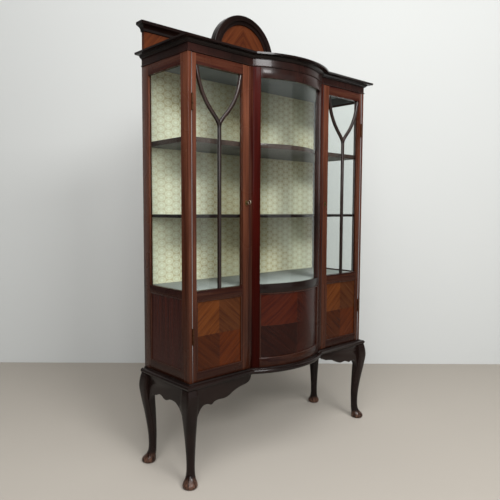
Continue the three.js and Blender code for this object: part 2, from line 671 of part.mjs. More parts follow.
// Leg at the front right corner; grow makes the same shape larger, for cutting.
function legGeometry(grow = 0) {
  const rings = LEG_STATIONS.map(([share, lean, half, squareness]) => {
    const centre = lean * Math.SQRT1_2;
    const ring = [];
    for (let i = 0; i < LEG_FACETS; i += 1) {
      const angle = (2 * Math.PI * i) / LEG_FACETS - Math.PI / 4;
      const c = Math.cos(angle);
      const s = Math.sin(angle);
      const spread = (Math.abs(c) ** squareness + Math.abs(s) ** squareness) ** (1 / squareness);
      const radius = (half + grow) / spread;
      ring.push(new THREE.Vector3(centre + radius * c, -centre + radius * s, share * LEG_TOP));
    }
    return ring;
  });
  return loft(rings);
}

const FRONT_LEG = [HALF_WIDTH, FRONT];
const BACK_LEG = [HALF_WIDTH, BACK - BACK_LEG_INSET];

function frontLeg(grow) {
  return legGeometry(grow).translate(FRONT_LEG[0], FRONT_LEG[1], 0);
}

function backLeg(grow) {
  return legGeometry(grow).rotateZ(Math.PI / 2).translate(BACK_LEG[0], BACK_LEG[1], 0);
}

const APRON_TOP = BASE_BOTTOM - GAP;
const EAR_DROP = 150;               // lowest point of an apron, where it meets the leg
const NOSE_INSET = 15;              // front apron stops this far outside the bow
const NOSE_LENGTH = 34;             // rounded end of the front apron

// The lower edges of the aprons are scalloped. A point is a share of the way from the
// leg's axis to the end of the scallops, and a drop below the carcass.
function frontApron() {
  const end = BOW_HALF_WIDTH + NOSE_INSET;
  const nose = end + NOSE_LENGTH;
  const run = HALF_WIDTH - nose;
  const at = (share, drop) => [HALF_WIDTH - share * run, CARCASS_BOTTOM - drop];
  const shape = new THREE.Shape();
  shape.moveTo(end, APRON_TOP);
  shape.lineTo(HALF_WIDTH, APRON_TOP);
  shape.lineTo(...at(0, EAR_DROP));
  shape.lineTo(...at(0.07, EAR_DROP));
  shape.quadraticCurveTo(...at(0.13, 98), ...at(0.21, 89));
  shape.quadraticCurveTo(...at(0.27, 84), ...at(0.32, 91));
  shape.quadraticCurveTo(...at(0.365, 98), ...at(0.405, 86));
  shape.quadraticCurveTo(...at(0.475, 80), ...at(0.545, 83));
  shape.quadraticCurveTo(...at(0.655, 87), ...at(0.75, 70));
  shape.quadraticCurveTo(...at(0.87, 56), ...at(1, 53));
  shape.quadraticCurveTo(end + 2, CARCASS_BOTTOM - 49, end, CARCASS_BOTTOM - 25);
  const face = FRONT - APRON_PROUD;
  return cut(frontPlate(shape, face, face + APRON_THICKNESS, 6), frontLeg(GAP));
}

function sideApron() {
  const face = HALF_WIDTH + APRON_PROUD;
  const run = BACK_LEG[1] - FRONT_LEG[1];
  const at = (share, drop) => [FRONT_LEG[1] + share * run, CARCASS_BOTTOM - drop];
  const shape = new THREE.Shape();
  shape.moveTo(BACK_LEG[1], APRON_TOP);
  shape.lineTo(FRONT_LEG[1], APRON_TOP);
  shape.lineTo(...at(0, EAR_DROP));
  shape.lineTo(...at(0.062, EAR_DROP));
  shape.quadraticCurveTo(...at(0.16, 86), ...at(0.283, 82));
  shape.quadraticCurveTo(...at(0.386, 80), ...at(0.428, 88));
  shape.quadraticCurveTo(...at(0.503, 98), ...at(0.566, 84));
  shape.quadraticCurveTo(...at(0.628, 78), ...at(0.655, 82));
  shape.quadraticCurveTo(...at(0.724, 96), ...at(0.8, 90));
  shape.quadraticCurveTo(...at(0.876, 98), ...at(0.938, EAR_DROP));
  shape.lineTo(...at(1, EAR_DROP));
  return cut(sidePlate(shape, face - APRON_THICKNESS, face, 6), frontLeg(GAP), backLeg(GAP));
}

function backRail() {
  const middle = BACK_LEG[1] - BACK_RAIL_SETBACK;
  const rail = block(-HALF_WIDTH, HALF_WIDTH, middle - APRON_THICKNESS / 2,
    middle + APRON_THICKNESS / 2, APRON_TOP - BACK_RAIL_HEIGHT, APRON_TOP);
  return cut(rail, backLeg(GAP), mirrored(backLeg(GAP)));
}

// ---- gallery ----------------------------------------------------------------------------------------

const GALLERY_BOTTOM = CORNICE_TOP + GAP;
const GALLERY_HALF = HALF_WIDTH - GALLERY_INSET;
const ARCH_INNER = ARCH_RADIUS - ARCH_WIDTH;
const RIM_INNER = ARCH_RADIUS - ARCH_RIM;

function galleryBoard() {
  const shape = new THREE.Shape();
  shape.moveTo(-GALLERY_HALF, GALLERY_BOTTOM);
  shape.lineTo(GALLERY_HALF, GALLERY_BOTTOM);
  shape.lineTo(GALLERY_HALF, ARCH_CENTRE - GAP);
  shape.lineTo(RIM_INNER - GAP, ARCH_CENTRE - GAP);
  shape.absarc(0, ARCH_CENTRE - GAP, RIM_INNER - GAP, 0, Math.PI);
  shape.lineTo(-GALLERY_HALF, ARCH_CENTRE - GAP);
  return frontPlate(shape, GALLERY_FACE, BACK, ARCH_FACETS / 2);
}

// Band between two radii that goes over the arch and down its legs to bottom.
function archBand(inner, outer, bottom) {
  const shape = new THREE.Shape();
  shape.moveTo(outer, bottom);
  shape.absarc(0, ARCH_CENTRE, outer, 0, Math.PI);
  shape.lineTo(-outer, bottom);
  shape.lineTo(-inner, bottom);
  shape.absarc(0, ARCH_CENTRE, inner, Math.PI, 0, true);
  shape.lineTo(inner, bottom);
  return shape;
}

function archMoulding() {
  const back = GALLERY_FACE - GAP;
  const rim = frontPlate(archBand(RIM_INNER, ARCH_RADIUS, GALLERY_BOTTOM),
    GALLERY_FACE - ARCH_DEPTH, back, ARCH_FACETS / 2);
  const step = frontPlate(archBand(ARCH_INNER, RIM_INNER + 1, GALLERY_BOTTOM),
    GALLERY_FACE - ARCH_DEPTH + ARCH_STEP, back, ARCH_FACETS / 2);
  const hood = frontPlate(archBand(RIM_INNER, ARCH_RADIUS, ARCH_CENTRE),
    back - 1, BACK, ARCH_FACETS / 2);
  return join(rim, step, hood);
}

const CAP_STEPS = [[0, 5], [4, 5], ...hollow([4, 6], [20, CAP_OVERHANG - 5]),
  [20, CAP_OVERHANG - 5], [21, CAP_OVERHANG], [CAP_HEIGHT, CAP_OVERHANG]];

function galleryCap() {
  return loft(CAP_STEPS.map(([height, overhang]) => {
    const z = ARCH_CENTRE + height;
    const inner = ARCH_RADIUS + GAP;
    const outer = GALLERY_HALF + overhang;
    return [[inner, BACK], [inner, GALLERY_FACE - overhang], [outer, GALLERY_FACE - overhang],
      [outer, BACK]].map(([x, y]) => new THREE.Vector3(x, y, z));
  }));
}

// ---- finishes and assembly --------------------------------------------------------------------------

const FINISHES = {
  mahogany: { color: 0x5e3224, roughness: 0.28, metalness: 0 },
  ebonised: { color: 0x1d1413, roughness: 0.25, metalness: 0 },
  veneer: { color: 0x77401f, roughness: 0.25, metalness: 0 },
  lining: { color: 0xcfc8ad, roughness: 0.9, metalness: 0 },
  glass: { color: 0xdfe9e6, roughness: 0.03, metalness: 0, transparent: true, opacity: 0.3 },
  brass: { color: 0xb08d4a, roughness: 0.3, metalness: 1 },
  steel: { color: 0x77756f, roughness: 0.4, metalness: 1 },
};

const cabinet = new THREE.Group();
cabinet.position.y = -CENTRE_Y;

function add(name, geometry, finish) {
  const mesh = new THREE.Mesh(geometry, new THREE.MeshStandardMaterial(FINISHES[finish]));
  mesh.name = name;
  cabinet.add(mesh);
}

// Adds a right-hand piece and its left-hand twin.
function addPair(name, geometry, finish) {
  add(`right_${name}`, geometry, finish);
  add(`left_${name}`, mirrored(geometry), finish);
}

add('base_board', baseBoard(), 'ebonised');
add('frieze', friezeRing(), 'ebonised');
add('cornice', corniceRing(), 'ebonised');
add('ceiling_board', ceilingBoard(), 'mahogany');
add('top_board', topBoard(), 'mahogany');
add('back_panel', backPanel(), 'lining');
add('display_floor', insideBoard(FLOOR_TOP, FLOOR_THICKNESS), 'lining');
add('middle_shelf', insideBoard(FLOOR_TOP + SHELF_SPACING, MIDDLE_SHELF_THICKNESS), 'mahogany');
add('upper_shelf', insideBoard(FLOOR_TOP + SHELF_SPACING * 2, UPPER_SHELF_THICKNESS), 'mahogany');
addPair('side_frame', sideFrame(), 'mahogany');
addPair('side_glass', sideGlass(), 'glass');
addPair('side_panel', sidePanel(), 'mahogany');

addPair('bow_post', bowPost(), 'mahogany');
addPair('bow_stile', bowStile(), 'mahogany');
add('bow_bottom_rail', bowRail(CARCASS_BOTTOM + GAP, PANEL_BOTTOM), 'mahogany');
add('bow_middle_rail', bowRail(PANEL_TOP, GLASS_BOTTOM), 'mahogany');
add('bow_top_rail', bowRail(GLASS_TOP, FRIEZE_BOTTOM), 'mahogany');
add('bow_glass', bowInfill(GLASS_RECESS, GLASS_THICKNESS, GLASS_BOTTOM, GLASS_TOP), 'glass');
add('bow_panel', bowInfill(PANEL_RECESS, PANEL_THICKNESS, PANEL_BOTTOM, PANEL_TOP), 'veneer');

addPair('door_frame', doorFrame(), 'mahogany');
addPair('door_glass', doorGlass(), 'glass');
addPair('door_bars', doorBars(), 'ebonised');
addPair('door_panel', doorPanel(), 'veneer');
const hingeNames = ['lower_hinge', 'upper_hinge'];
hingeNames.forEach((name, i) => {
  addPair(`${name}_frame_leaf`, fixedLeaf(hingeHeights()[i]), 'brass');
  addPair(`${name}_door_leaf`, doorLeaf(hingeHeights()[i]), 'brass');
});
addPair('lock_case', lockCase(), 'steel');
addPair('lock_bolt', lockBolt(), 'brass');
addPair('escutcheon', escutcheon(), 'brass');
add('left_door_key', mirrored(doorKey()), 'brass');

addPair('front_leg', frontLeg(0), 'ebonised');
addPair('back_leg', backLeg(0), 'ebonised');
addPair('front_apron', frontApron(), 'ebonised');
addPair('side_apron', sideApron(), 'ebonised');
add('back_rail', backRail(), 'mahogany');

add('gallery_board', galleryBoard(), 'veneer');
add('gallery_arch', archMoulding(), 'ebonised');
addPair('gallery_cap', galleryCap(), 'ebonised');

export default cabinet;
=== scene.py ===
"""Dresses the bow-fronted china cabinet: polished joinery, mouldings, glass, cloth lining and brass."""

import json
import math

import bmesh
import bpy
from bpy.props import FloatProperty, FloatVectorProperty, PointerProperty
from bpy.types import Operator, Panel, PropertyGroup
from mathutils import Matrix, Vector
from mathutils.geometry import interpolate_bezier


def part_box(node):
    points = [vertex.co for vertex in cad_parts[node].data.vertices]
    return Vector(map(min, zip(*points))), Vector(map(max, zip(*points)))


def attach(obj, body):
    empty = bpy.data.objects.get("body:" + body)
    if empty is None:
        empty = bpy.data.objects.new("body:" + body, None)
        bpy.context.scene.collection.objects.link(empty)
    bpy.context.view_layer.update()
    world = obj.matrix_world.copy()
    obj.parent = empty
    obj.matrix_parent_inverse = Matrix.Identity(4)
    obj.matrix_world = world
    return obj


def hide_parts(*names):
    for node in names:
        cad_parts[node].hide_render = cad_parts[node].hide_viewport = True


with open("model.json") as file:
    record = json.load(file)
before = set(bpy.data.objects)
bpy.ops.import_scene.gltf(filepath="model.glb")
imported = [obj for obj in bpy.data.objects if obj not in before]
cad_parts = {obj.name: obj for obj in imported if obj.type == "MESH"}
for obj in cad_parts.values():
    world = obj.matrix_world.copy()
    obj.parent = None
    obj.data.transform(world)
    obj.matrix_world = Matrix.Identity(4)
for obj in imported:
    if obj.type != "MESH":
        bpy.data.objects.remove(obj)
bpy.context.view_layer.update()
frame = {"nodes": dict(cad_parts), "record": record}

bl_info = {
    "name": "China Cabinet",
    "version": (1, 0, 0),
    "blender": (4, 5, 0),
    "location": "View3D > Sidebar > Cabinet",
    "description": "Makes the finished pieces of a bow-fronted china cabinet round its CAD frame",
    "category": "Add Mesh",
}

MM = 0.001
UP = Vector((0, 0, 1))
TOWARDS_FRONT = Vector((0, -1, 0))
BACKWARDS = -TOWARDS_FRONT
RIGHT = Vector((1, 0, 0))
UPRIGHT = Matrix.Rotation(math.pi / 2, 4, "X")
SIDES = (("left", -1), ("right", 1))

GAP = 0.3 * MM  # joint gap of the frame
MERGE = 0.01 * MM  # vertices this close are one
SEAT = 0.05 * MM  # clearance under a bead
SETBACK = 0.4 * MM  # how far a bead stays behind its frame's face
SHARP = math.radians(32)
SHORTEST_EASED = 14 * MM

# ---- places read from the frame ----

BODY_OF = {
    node: body
    for body, nodes in frame["record"]["behaviour"]["bodies"].items()
    for node in nodes
}


def low(node):
    """Lowest corner of a CAD node."""
    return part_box(node)[0]


def high(node):
    """Highest corner of a CAD node."""
    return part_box(node)[1]


def centre_of(node):
    """Middle of a CAD node's box."""
    return (low(node) + high(node)) / 2


HALF_WIDTH = high("right_side_frame").x
FRONT = low("right_side_frame").y
BACK = high("right_side_frame").y
MIDDLE_Y = (FRONT + BACK) / 2
SIDE_SIGHT = BACK - MIDDLE_Y - 45 * MM  # half the opening between a side frame's stiles
BOW_HALF_WIDTH = low("right_bow_post").x
BOW_RISE = FRONT - low("bow_top_rail").y
BOW_RADIUS = (BOW_HALF_WIDTH**2 + BOW_RISE**2) / (2 * BOW_RISE)
BOW_CENTRE = FRONT - BOW_RISE + BOW_RADIUS
BOW_ANGLE = math.asin(BOW_HALF_WIDTH / BOW_RADIUS)
BASE_BOTTOM = low("base_board").z
CARCASS_BOTTOM = high("base_board").z
FRIEZE_BOTTOM = high("right_side_frame").z
FRIEZE_TOP = high("frieze").z
CORNICE_TOP = high("cornice").z
CORNICE_OVERHANG = high("cornice").x - HALF_WIDTH
GLASS_BOTTOM = high("bow_middle_rail").z
GLASS_TOP = low("bow_top_rail").z
PANEL_TOP = low("bow_middle_rail").z
PANEL_BOTTOM = high("bow_bottom_rail").z
REBATE = 7 * MM
SIGHT_INNER = low("right_door_bars").x - GAP
SIGHT_OUTER = high("right_door_bars").x + GAP
ARCH_CENTRE = low("right_gallery_cap").z
ARCH_RADIUS = high("gallery_arch").x
GALLERY_BOTTOM = low("gallery_board").z
GALLERY_FACE = low("gallery_board").y
GALLERY_HALF = high("gallery_board").x
CAP_HEIGHT = high("right_gallery_cap").z - ARCH_CENTRE
CAP_OVERHANG = high("right_gallery_cap").x - GALLERY_HALF


# ---- settings a user may change ----


def colour_setting(name, description, default):
    """A colour property with its default."""
    return FloatVectorProperty(
        name=name, description=description, default=default, subtype="COLOR", size=3, min=0, max=1
    )


def length_setting(name, description, default):
    """A length property in metres, with its default."""
    return FloatProperty(
        name=name, description=description, default=default, min=0, unit="LENGTH", precision=4
    )


class CabinetSizes(PropertyGroup):
    """Sizes of the pieces that are added to the frame."""

    arris: length_setting("Eased edge", "Width worn off the sharp edges of the joinery", 0.9 * MM)
    panel_bead: length_setting("Panel bead", "Width of the bead round each lower panel", 5 * MM)
    glazing_bead: length_setting("Glazing bead", "Width of the beads that hold the glass", 6.5 * MM)
    bar_face: length_setting("Bar face", "Flat on the front of a glazing bar", 7.5 * MM)


class CabinetColours(PropertyGroup):
    """Colours of the finishes."""

    mahogany: colour_setting("Mahogany", "Polished frames of the doors", (0.125, 0.043, 0.023))
    mahogany_deep: colour_setting("Mahogany, deep", "Dark streaks in it", (0.052, 0.013, 0.006))
    red: colour_setting("Red mahogany", "Bow stiles and side panels", (0.045, 0.004, 0.0025))
    ebonised: colour_setting("Dark polish", "Mouldings, aprons and legs", (0.009, 0.0045, 0.0035))
    veneer: colour_setting("Veneer", "Light bands of the quartered veneer", (0.122, 0.036, 0.007))
    veneer_deep: colour_setting("Veneer, deep", "Dark bands of the veneer", (0.058, 0.014, 0.003))
    cloth: colour_setting("Lining", "Ground of the cloth lining", (0.680, 0.690, 0.510))
    gold: colour_setting("Lining figure", "Figure woven into the lining", (0.400, 0.300, 0.120))
    brass: colour_setting("Brass", "Key and escutcheons", (0.560, 0.380, 0.140))


class CabinetSettings(PropertyGroup):
    """All settings of the cabinet."""

    sizes: PointerProperty(type=CabinetSizes)
    colours: PointerProperty(type=CabinetColours)


# ---- making meshes ----


FINISHES = {}  # materials by name, filled by the first step that needs them


def as_object(name, bm, materials):
    """Turns a bmesh into a named object in the scene."""
    mesh = bpy.data.meshes.new(name)
    bm.to_mesh(mesh)
    bm.free()
    for material in materials:
        mesh.materials.append(material)
    made = bpy.data.objects.new(name, mesh)
    bpy.context.scene.collection.objects.link(made)
    return made


def finish_piece(name, bm, finishes, body):
    """Turns a bmesh into a smooth piece with sharp arrises that rides on a body."""
    bmesh.ops.recalc_face_normals(bm, faces=bm.faces)
    for face in bm.faces:
        face.smooth = True
    for edge in bm.edges:
        edge.smooth = edge.calc_face_angle(math.pi) < SHARP
    piece = as_object(name, bm, [FINISHES[finish] for finish in finishes])
    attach(piece, body)
    return piece


def stand_in(name, bm, finishes, node):
    """A piece that stands for a CAD node, on the node's body; the node is hidden."""
    piece = finish_piece(name, bm, finishes, BODY_OF[node])
    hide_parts(node)


def station(point, out, up=UP, stretch=1.0):
    """Place on a path: a profile's x runs along out and its z along up. stretch fits a mitre."""
    out, up = Vector(out).normalized(), Vector(up)
    turned = Matrix((out * stretch, up.cross(out), up)).transposed().to_4x4()
    return Matrix.Translation(point) @ turned


def grow(bm, edges):
    """Extrudes a ring of edges where it stands. Gives the new vertices and the new ring."""
    made = bmesh.ops.extrude_edge_only(bm, edges=edges)["geom"]
    verts = {item for item in made if isinstance(item, bmesh.types.BMVert)}
    lines = [item for item in made if isinstance(item, bmesh.types.BMEdge)]
    return verts, [line for line in lines if verts.issuperset(line.verts)]


def sweep(bm, profile, stations, closed=False):
    """Runs a closed profile, drawn in x and z, through the stations of a path."""
    ring = [bm.verts.new(stations[0] @ Vector((x, 0, z))) for x, z in profile]
    cap = bm.faces.new(ring)
    edges = list(cap.edges)
    if closed:
        bmesh.ops.delete(bm, geom=[cap], context="FACES_ONLY")
        stations = [*stations, stations[0]]
    for before, after in zip(stations, stations[1:]):
        verts, edges = grow(bm, edges)
        bmesh.ops.transform(bm, matrix=after @ before.inverted(), verts=list(verts))
    if closed:
        bmesh.ops.remove_doubles(bm, verts=bm.verts, dist=MERGE)
    else:
        bmesh.ops.holes_fill(bm, edges=edges, sides=0)


def swept(profile, stations, closed=False):
    """A new bmesh with one sweep in it."""
    bm = bmesh.new()
    sweep(bm, profile, stations, closed)
    return bm


def quarter_round(centre, radius, start, turn=90, steps=6):
    """Points of an arc of a profile, from the start angle through turn, in degrees."""
    angles = [math.radians(start + turn * i / steps) for i in range(steps + 1)]
    return [(centre[0] + radius * math.cos(a), centre[1] + radius * math.sin(a)) for a in angles]


def in_metres(points):
    """A profile drawn in millimetres, in metres."""
    return [(x * MM, z * MM) for x, z in points]


def bow_point(angle, radius=BOW_RADIUS):
    """Point in plan on the bow or on a curve that runs beside it."""
    return Vector((radius * math.sin(angle), BOW_CENTRE - radius * math.cos(angle), 0))


def bow_out(angle):
    """Direction straight out of the bow."""
    return Vector((math.sin(angle), -math.cos(angle), 0))


def plan_stations(height):
    """Stations along the flat-bow-flat front and both ends, with mitred corners."""
    lift, mitre = UP * height, 1 / math.cos(BOW_ANGLE / 2)
    ends = []
    for _, sign in SIDES:
        out, side = RIGHT * sign, sign * HALF_WIDTH
        ends.append([
            station(Vector((side, BACK, height)), out),
            station(Vector((side, FRONT, height)), TOWARDS_FRONT + out, stretch=math.sqrt(2)),
            station(bow_point(sign * BOW_ANGLE) + lift, bow_out(sign * BOW_ANGLE / 2), stretch=mitre),
        ])
    angles = [BOW_ANGLE * (i / 16 - 1) for i in range(1, 32)]
    arc = [station(bow_point(a) + lift, bow_out(a)) for a in angles]
    return [*ends[0], *arc, *reversed(ends[1])]


def rectangle_stations(low_corner, high_corner, across, facing):
    """Stations round a rectangle, at its corners, with out pointing into the opening."""
    centre, half = (low_corner + high_corner) / 2, (high_corner - low_corner) / 2
    wide, tall = across * abs(half.dot(across)), UP * half.z
    return [
        station(centre + wide * side + tall * lift, -across * side - UP * lift, facing, math.sqrt(2))
        for side, lift in ((-1, -1), (1, -1), (1, 1), (-1, 1))
    ]


def flat_sheet(width, height, place, columns=1, rows=1):
    """A new bmesh of one flat grid, moved to its place."""
    bm = bmesh.new()
    bmesh.ops.create_grid(bm, x_segments=columns, y_segments=rows, size=0.5)
    bmesh.ops.scale(bm, vec=(width, height, 1), verts=bm.verts)
    bmesh.ops.transform(bm, matrix=place, verts=bm.verts)
    return bm


def split(bm, point, normal, clear=False):
    """Cuts every face a plane crosses. clear drops what lies beyond the plane."""
    bmesh.ops.bisect_plane(
        bm, geom=[*bm.verts, *bm.edges, *bm.faces], plane_co=point, plane_no=normal,
        clear_outer=clear,
    )


def ease_edges(bm, width):
    """Rounds the long sharp edges, as scraping and handling do."""
    arrises = [
        edge
        for edge in bm.edges
        if edge.calc_face_angle(0) > SHARP and edge.calc_length() > SHORTEST_EASED
    ]
    bmesh.ops.bevel(
        bm, geom=arrises, offset=width, offset_type="OFFSET", affect="EDGES", segments=2,
        profile=0.5, material=-1, clamp_overlap=False,
    )


def eased_copy(node, width, *finishes, cuts=(), pick=None):
    """A piece with a CAD node's own shape and eased edges. Cuts split its faces where its members
    meet, and pick chooses which of the finishes a face takes, from the face's middle."""
    bm = bmesh.new()
    bm.from_mesh(frame["nodes"][node].data)
    bmesh.ops.remove_doubles(bm, verts=bm.verts, dist=MERGE)
    for point, normal in cuts:
        split(bm, point, normal)
    if pick:
        for face in bm.faces:
            face.material_index = pick(face.calc_center_median())
    bmesh.ops.dissolve_limit(
        bm, angle_limit=math.radians(0.3), verts=bm.verts, edges=bm.edges, delimit={"MATERIAL"}
    )
    if width:
        ease_edges(bm, width)
    stand_in("fine_" + node, bm, finishes, node)


def dress(node, finish):
    """Gives a CAD node that keeps its own mesh a finish."""
    for slot in frame["nodes"][node].material_slots:
        slot.material = FINISHES[finish]


# ---- writing materials ----


class Value:
    """A socket that takes part in sums, so that a pattern reads as an expression."""

    def __init__(self, finish, socket):
        self.finish = finish
        self.socket = socket

    def __add__(self, other):
        return self.finish.maths("ADD", self, other)

    __radd__ = __add__

    def __sub__(self, other):
        return self.finish.maths("SUBTRACT", self, other)

    def __rsub__(self, other):
        return self.finish.maths("SUBTRACT", other, self)

    def __mul__(self, other):
        return self.finish.maths("MULTIPLY", self, other)

    __rmul__ = __mul__

    def __abs__(self):
        return self.finish.maths("ABSOLUTE", self)


class Finish:
    """One node material while it is being written."""

    def __init__(self, name):
        self.material = bpy.data.materials.new(name)
        self.material.use_nodes = True
        self.tree = self.material.node_tree
        self.tree.nodes.clear()
        self.place = self.read(self.node("ShaderNodeTexCoord"), "Object")

    def node(self, kind, settings=None, sockets=None):
        """Adds a node: its settings first, then the values or links of its sockets."""
        made = self.tree.nodes.new(kind)
        for key, setting in (settings or {}).items():
            setattr(made, key, setting)
        for key, entry in (sockets or {}).items():
            if isinstance(entry, Value):
                self.tree.links.new(entry.socket, made.inputs[key])
            else:
                made.inputs[key].default_value = entry
        return made

    def read(self, node, output=0):
        """One output of a node."""
        return Value(self, node.outputs[output])

    def maths(self, operation, *terms):
        """A sum on numbers."""
        made = self.node("ShaderNodeMath", {"operation": operation}, dict(enumerate(terms)))
        return self.read(made)

    def stretched(self, factors, place=None):
        """The place with each direction multiplied, which draws a pattern out."""
        sockets = {0: place or self.place, 1: factors}
        return self.read(self.node("ShaderNodeVectorMath", {"operation": "MULTIPLY"}, sockets))

    def noise(self, place, scale, detail=4.0, distortion=0.0):
        """Noise from 0 to 1 at a place."""
        sockets = {"Vector": place, "Scale": scale, "Detail": detail, "Distortion": distortion}
        return self.read(self.node("ShaderNodeTexNoise", None, sockets))

    def between(self, value, start, end):
        """0 at start, 1 at end, and smooth between them."""
        settings = {"interpolation_type": "SMOOTHSTEP"}
        sockets = {"Value": value, "From Min": start, "From Max": end}
        return self.read(self.node("ShaderNodeMapRange", settings, sockets))

    def mix(self, factor, first, second, blend="MIX"):
        """A colour between two colours."""
        settings = {"data_type": "RGBA", "blend_type": blend}
        made = self.node("ShaderNodeMix", settings, {0: factor, 6: first, 7: second})
        return self.read(made, 2)

    def axes(self):
        """The place's x, y and z as numbers."""
        made = self.node("ShaderNodeSeparateXYZ", None, {0: self.place})
        return [self.read(made, i) for i in range(3)]

    def point(self, x, y, z):
        """A place from three numbers."""
        return self.read(self.node("ShaderNodeCombineXYZ", None, {0: x, 1: y, 2: z}))

    def painted_shade_towards_floor(self):
        """Painted shade that darkens a finish towards the floor: 0 high up and most at the foot."""
        return (1 - self.between(self.axes()[2], 0.35, 1.65)) * 0.85

    def relief(self, height, strength, depth):
        """A normal with a height pattern pressed into it."""
        sockets = {"Height": height, "Strength": strength, "Distance": depth}
        return self.read(self.node("ShaderNodeBump", None, sockets))

    def from_behind(self):
        """1 where a face is seen from behind."""
        return self.read(self.node("ShaderNodeNewGeometry"), "Backfacing")

    def surface(self, colour, rough, height, press, depth=0.2 * MM, extra=None):
        """Ends the material in one Principled shader, with a height pattern pressed into it."""
        bent = self.relief(height, press, depth)
        sockets = {"Base Color": colour, "Roughness": rough, "Normal": bent}
        return self.ended(self.node("ShaderNodeBsdfPrincipled", None, sockets | (extra or {})))

    def blended(self, share, first, second):
        """Ends the material in a mix of two shaders."""
        sockets = {0: share, 1: self.read(first), 2: self.read(second)}
        return self.ended(self.node("ShaderNodeMixShader", None, sockets))

    def ended(self, shader):
        """Links a shader to the output and returns the material."""
        self.node("ShaderNodeOutputMaterial", None, {"Surface": self.read(shader)})
        return self.material


def solid(colour, shade=1.0):
    """A colour setting as four numbers, lighter or darker by shade."""
    return (colour[0] * shade, colour[1] * shade, colour[2] * shade, 1.0)


def polish(level, coat, softness=0.06):
    """The shine of polished wood, as sockets."""
    return {"Specular IOR Level": level, "Coat Weight": coat, "Coat Roughness": softness}


ALONG = {"x": (1, 28, 28), "y": (28, 1, 28), "z": (28, 28, 1)}


def wood(name, pale, deep, along, gloss=0.2, coat=0.12, level=0.12, contrast=1.0):
    """French-polished wood with its grain along one axis."""
    finish = Finish(name)
    drawn = finish.stretched(ALONG[along])
    figure = finish.noise(drawn, 1.6, 3.0, 0.5)
    streaks = finish.noise(drawn, 7.0, 4.0, 0.2)
    pores = finish.between(finish.noise(finish.stretched((3, 3, 3), drawn), 22.0, 2.0), 0.60, 0.70)
    clouds = finish.noise(finish.place, 5.0, 2.0)
    spread = 0.16 / contrast
    tone = finish.between(figure * 0.6 + streaks * 0.4, 0.5 - spread, 0.5 + spread)
    colour = finish.mix(tone, deep, pale)
    shade = finish.between(clouds, 0.3, 0.75) * 0.35
    colour = finish.mix(shade, colour, (0.5, 0.42, 0.4, 1), "MULTIPLY")
    # Painted shade: the wood is darkened towards the floor, where less light falls.
    colour = finish.mix(finish.painted_shade_towards_floor(), colour, (0.25, 0.2, 0.15, 1), "MULTIPLY")
    colour = finish.mix(pores * 0.5, colour, (0.012, 0.005, 0.004, 1))
    rough = gloss + 0.14 * clouds + 0.12 * pores
    return finish.surface(colour, rough, streaks - pores, 0.12, extra=polish(level, coat))


def dark_wood(name, tone, red, worn=None):
    """Nearly black polished wood. worn is a height below which the polish is rubbed brown."""
    finish = Finish(name)
    fine = finish.noise(finish.stretched((40, 40, 12)), 3.0, 5.0, 0.3)
    clouds = finish.noise(finish.place, 6.0, 3.0)
    colour = finish.mix(finish.between(clouds, 0.35, 0.7), tone, red)
    colour = finish.mix(finish.between(fine, 0.45, 0.75) * 0.5, colour, (0.008, 0.004, 0.004, 1))
    rough = 0.18 + 0.12 * clouds
    if worn:
        height = finish.axes()[2] + 0.03 * clouds
        rubbed = (1 - finish.between(height, worn * 0.5, worn)) * finish.between(fine, 0.3, 0.6)
        colour = finish.mix(rubbed * 0.75, colour, (0.105, 0.052, 0.034, 1))
        rough = rough + 0.18 * rubbed
    return finish.surface(colour, rough, fine, 0.1, extra=polish(0.14, 0.1, 0.07))


def veneer(name, centre, pale, deep, lean=0.62, quartered=True, lower_quarter_shade=(0.72, 0.5, 0.25, 1)):
    """Straight-grained veneer laid at a slant and matched either side of a seam. Quartered veneer
    is matched about a level seam too, and the way its quarters take the light in turn is painted
    into their colour as painted sheen and shade."""
    finish = Finish(name)
    x, _, z = finish.axes()
    across, rise = x - centre.x, z - centre.z
    side, height = abs(across), abs(rise) if quartered else rise
    level = (1 - lean**2) ** 0.5
    slant, grain = side * lean + height * level, height * lean - side * level
    laid = finish.point(slant * 26, 0.3, grain * 1.2)
    bands = finish.noise(laid, 4.2, 4.0, 0.3)
    streaks = finish.noise(laid, 15.0, 4.0, 0.3)
    pores = finish.between(finish.noise(laid, 60.0, 2.0), 0.62, 0.72)
    colour = finish.mix(finish.between(bands * 0.62 + streaks * 0.38, 0.30, 0.66), deep, pale)
    if quartered:
        # Painted light: the turned quarters are the same veneer, darkened as the light falls on their
        # grain.
        turned = finish.between(across * rise, -0.00002, 0.00002)
        colour = finish.mix(turned, colour, (0.64, 0.70, 1.0, 1), "MULTIPLY")
        # Painted shade: the lower quarters are darker and more orange, as the light falls on their
        # grain.
        lower = 1 - finish.between(rise, -0.5 * MM, 0.5 * MM)
        colour = finish.mix(lower, colour, lower_quarter_shade, "MULTIPLY")
    # Painted shade: the veneer is darkened towards the floor, where less light falls.
    colour = finish.mix(finish.painted_shade_towards_floor() * 0.6, colour, (0.3, 0.2, 0.1, 1), "MULTIPLY")
    seam = 1 - finish.between(abs(across), 0.2 * MM, 0.7 * MM)
    if quartered:
        seam = finish.maths("MAXIMUM", seam, 1 - finish.between(abs(rise), 0.2 * MM, 0.7 * MM))
    for lines, share in ((seam, 0.7), (pores, 0.35)):
        colour = finish.mix(lines * share, colour, (0.02, 0.008, 0.004, 1))
    rough = 0.2 + 0.1 * bands + 0.1 * pores
    return finish.surface(colour, rough, streaks - seam, 0.1, extra=polish(0.1, 0.13))


CELL_WIDTH = 36 * MM
CELL_HEIGHT = 30.5 * MM
THREAD = 1.2 * MM


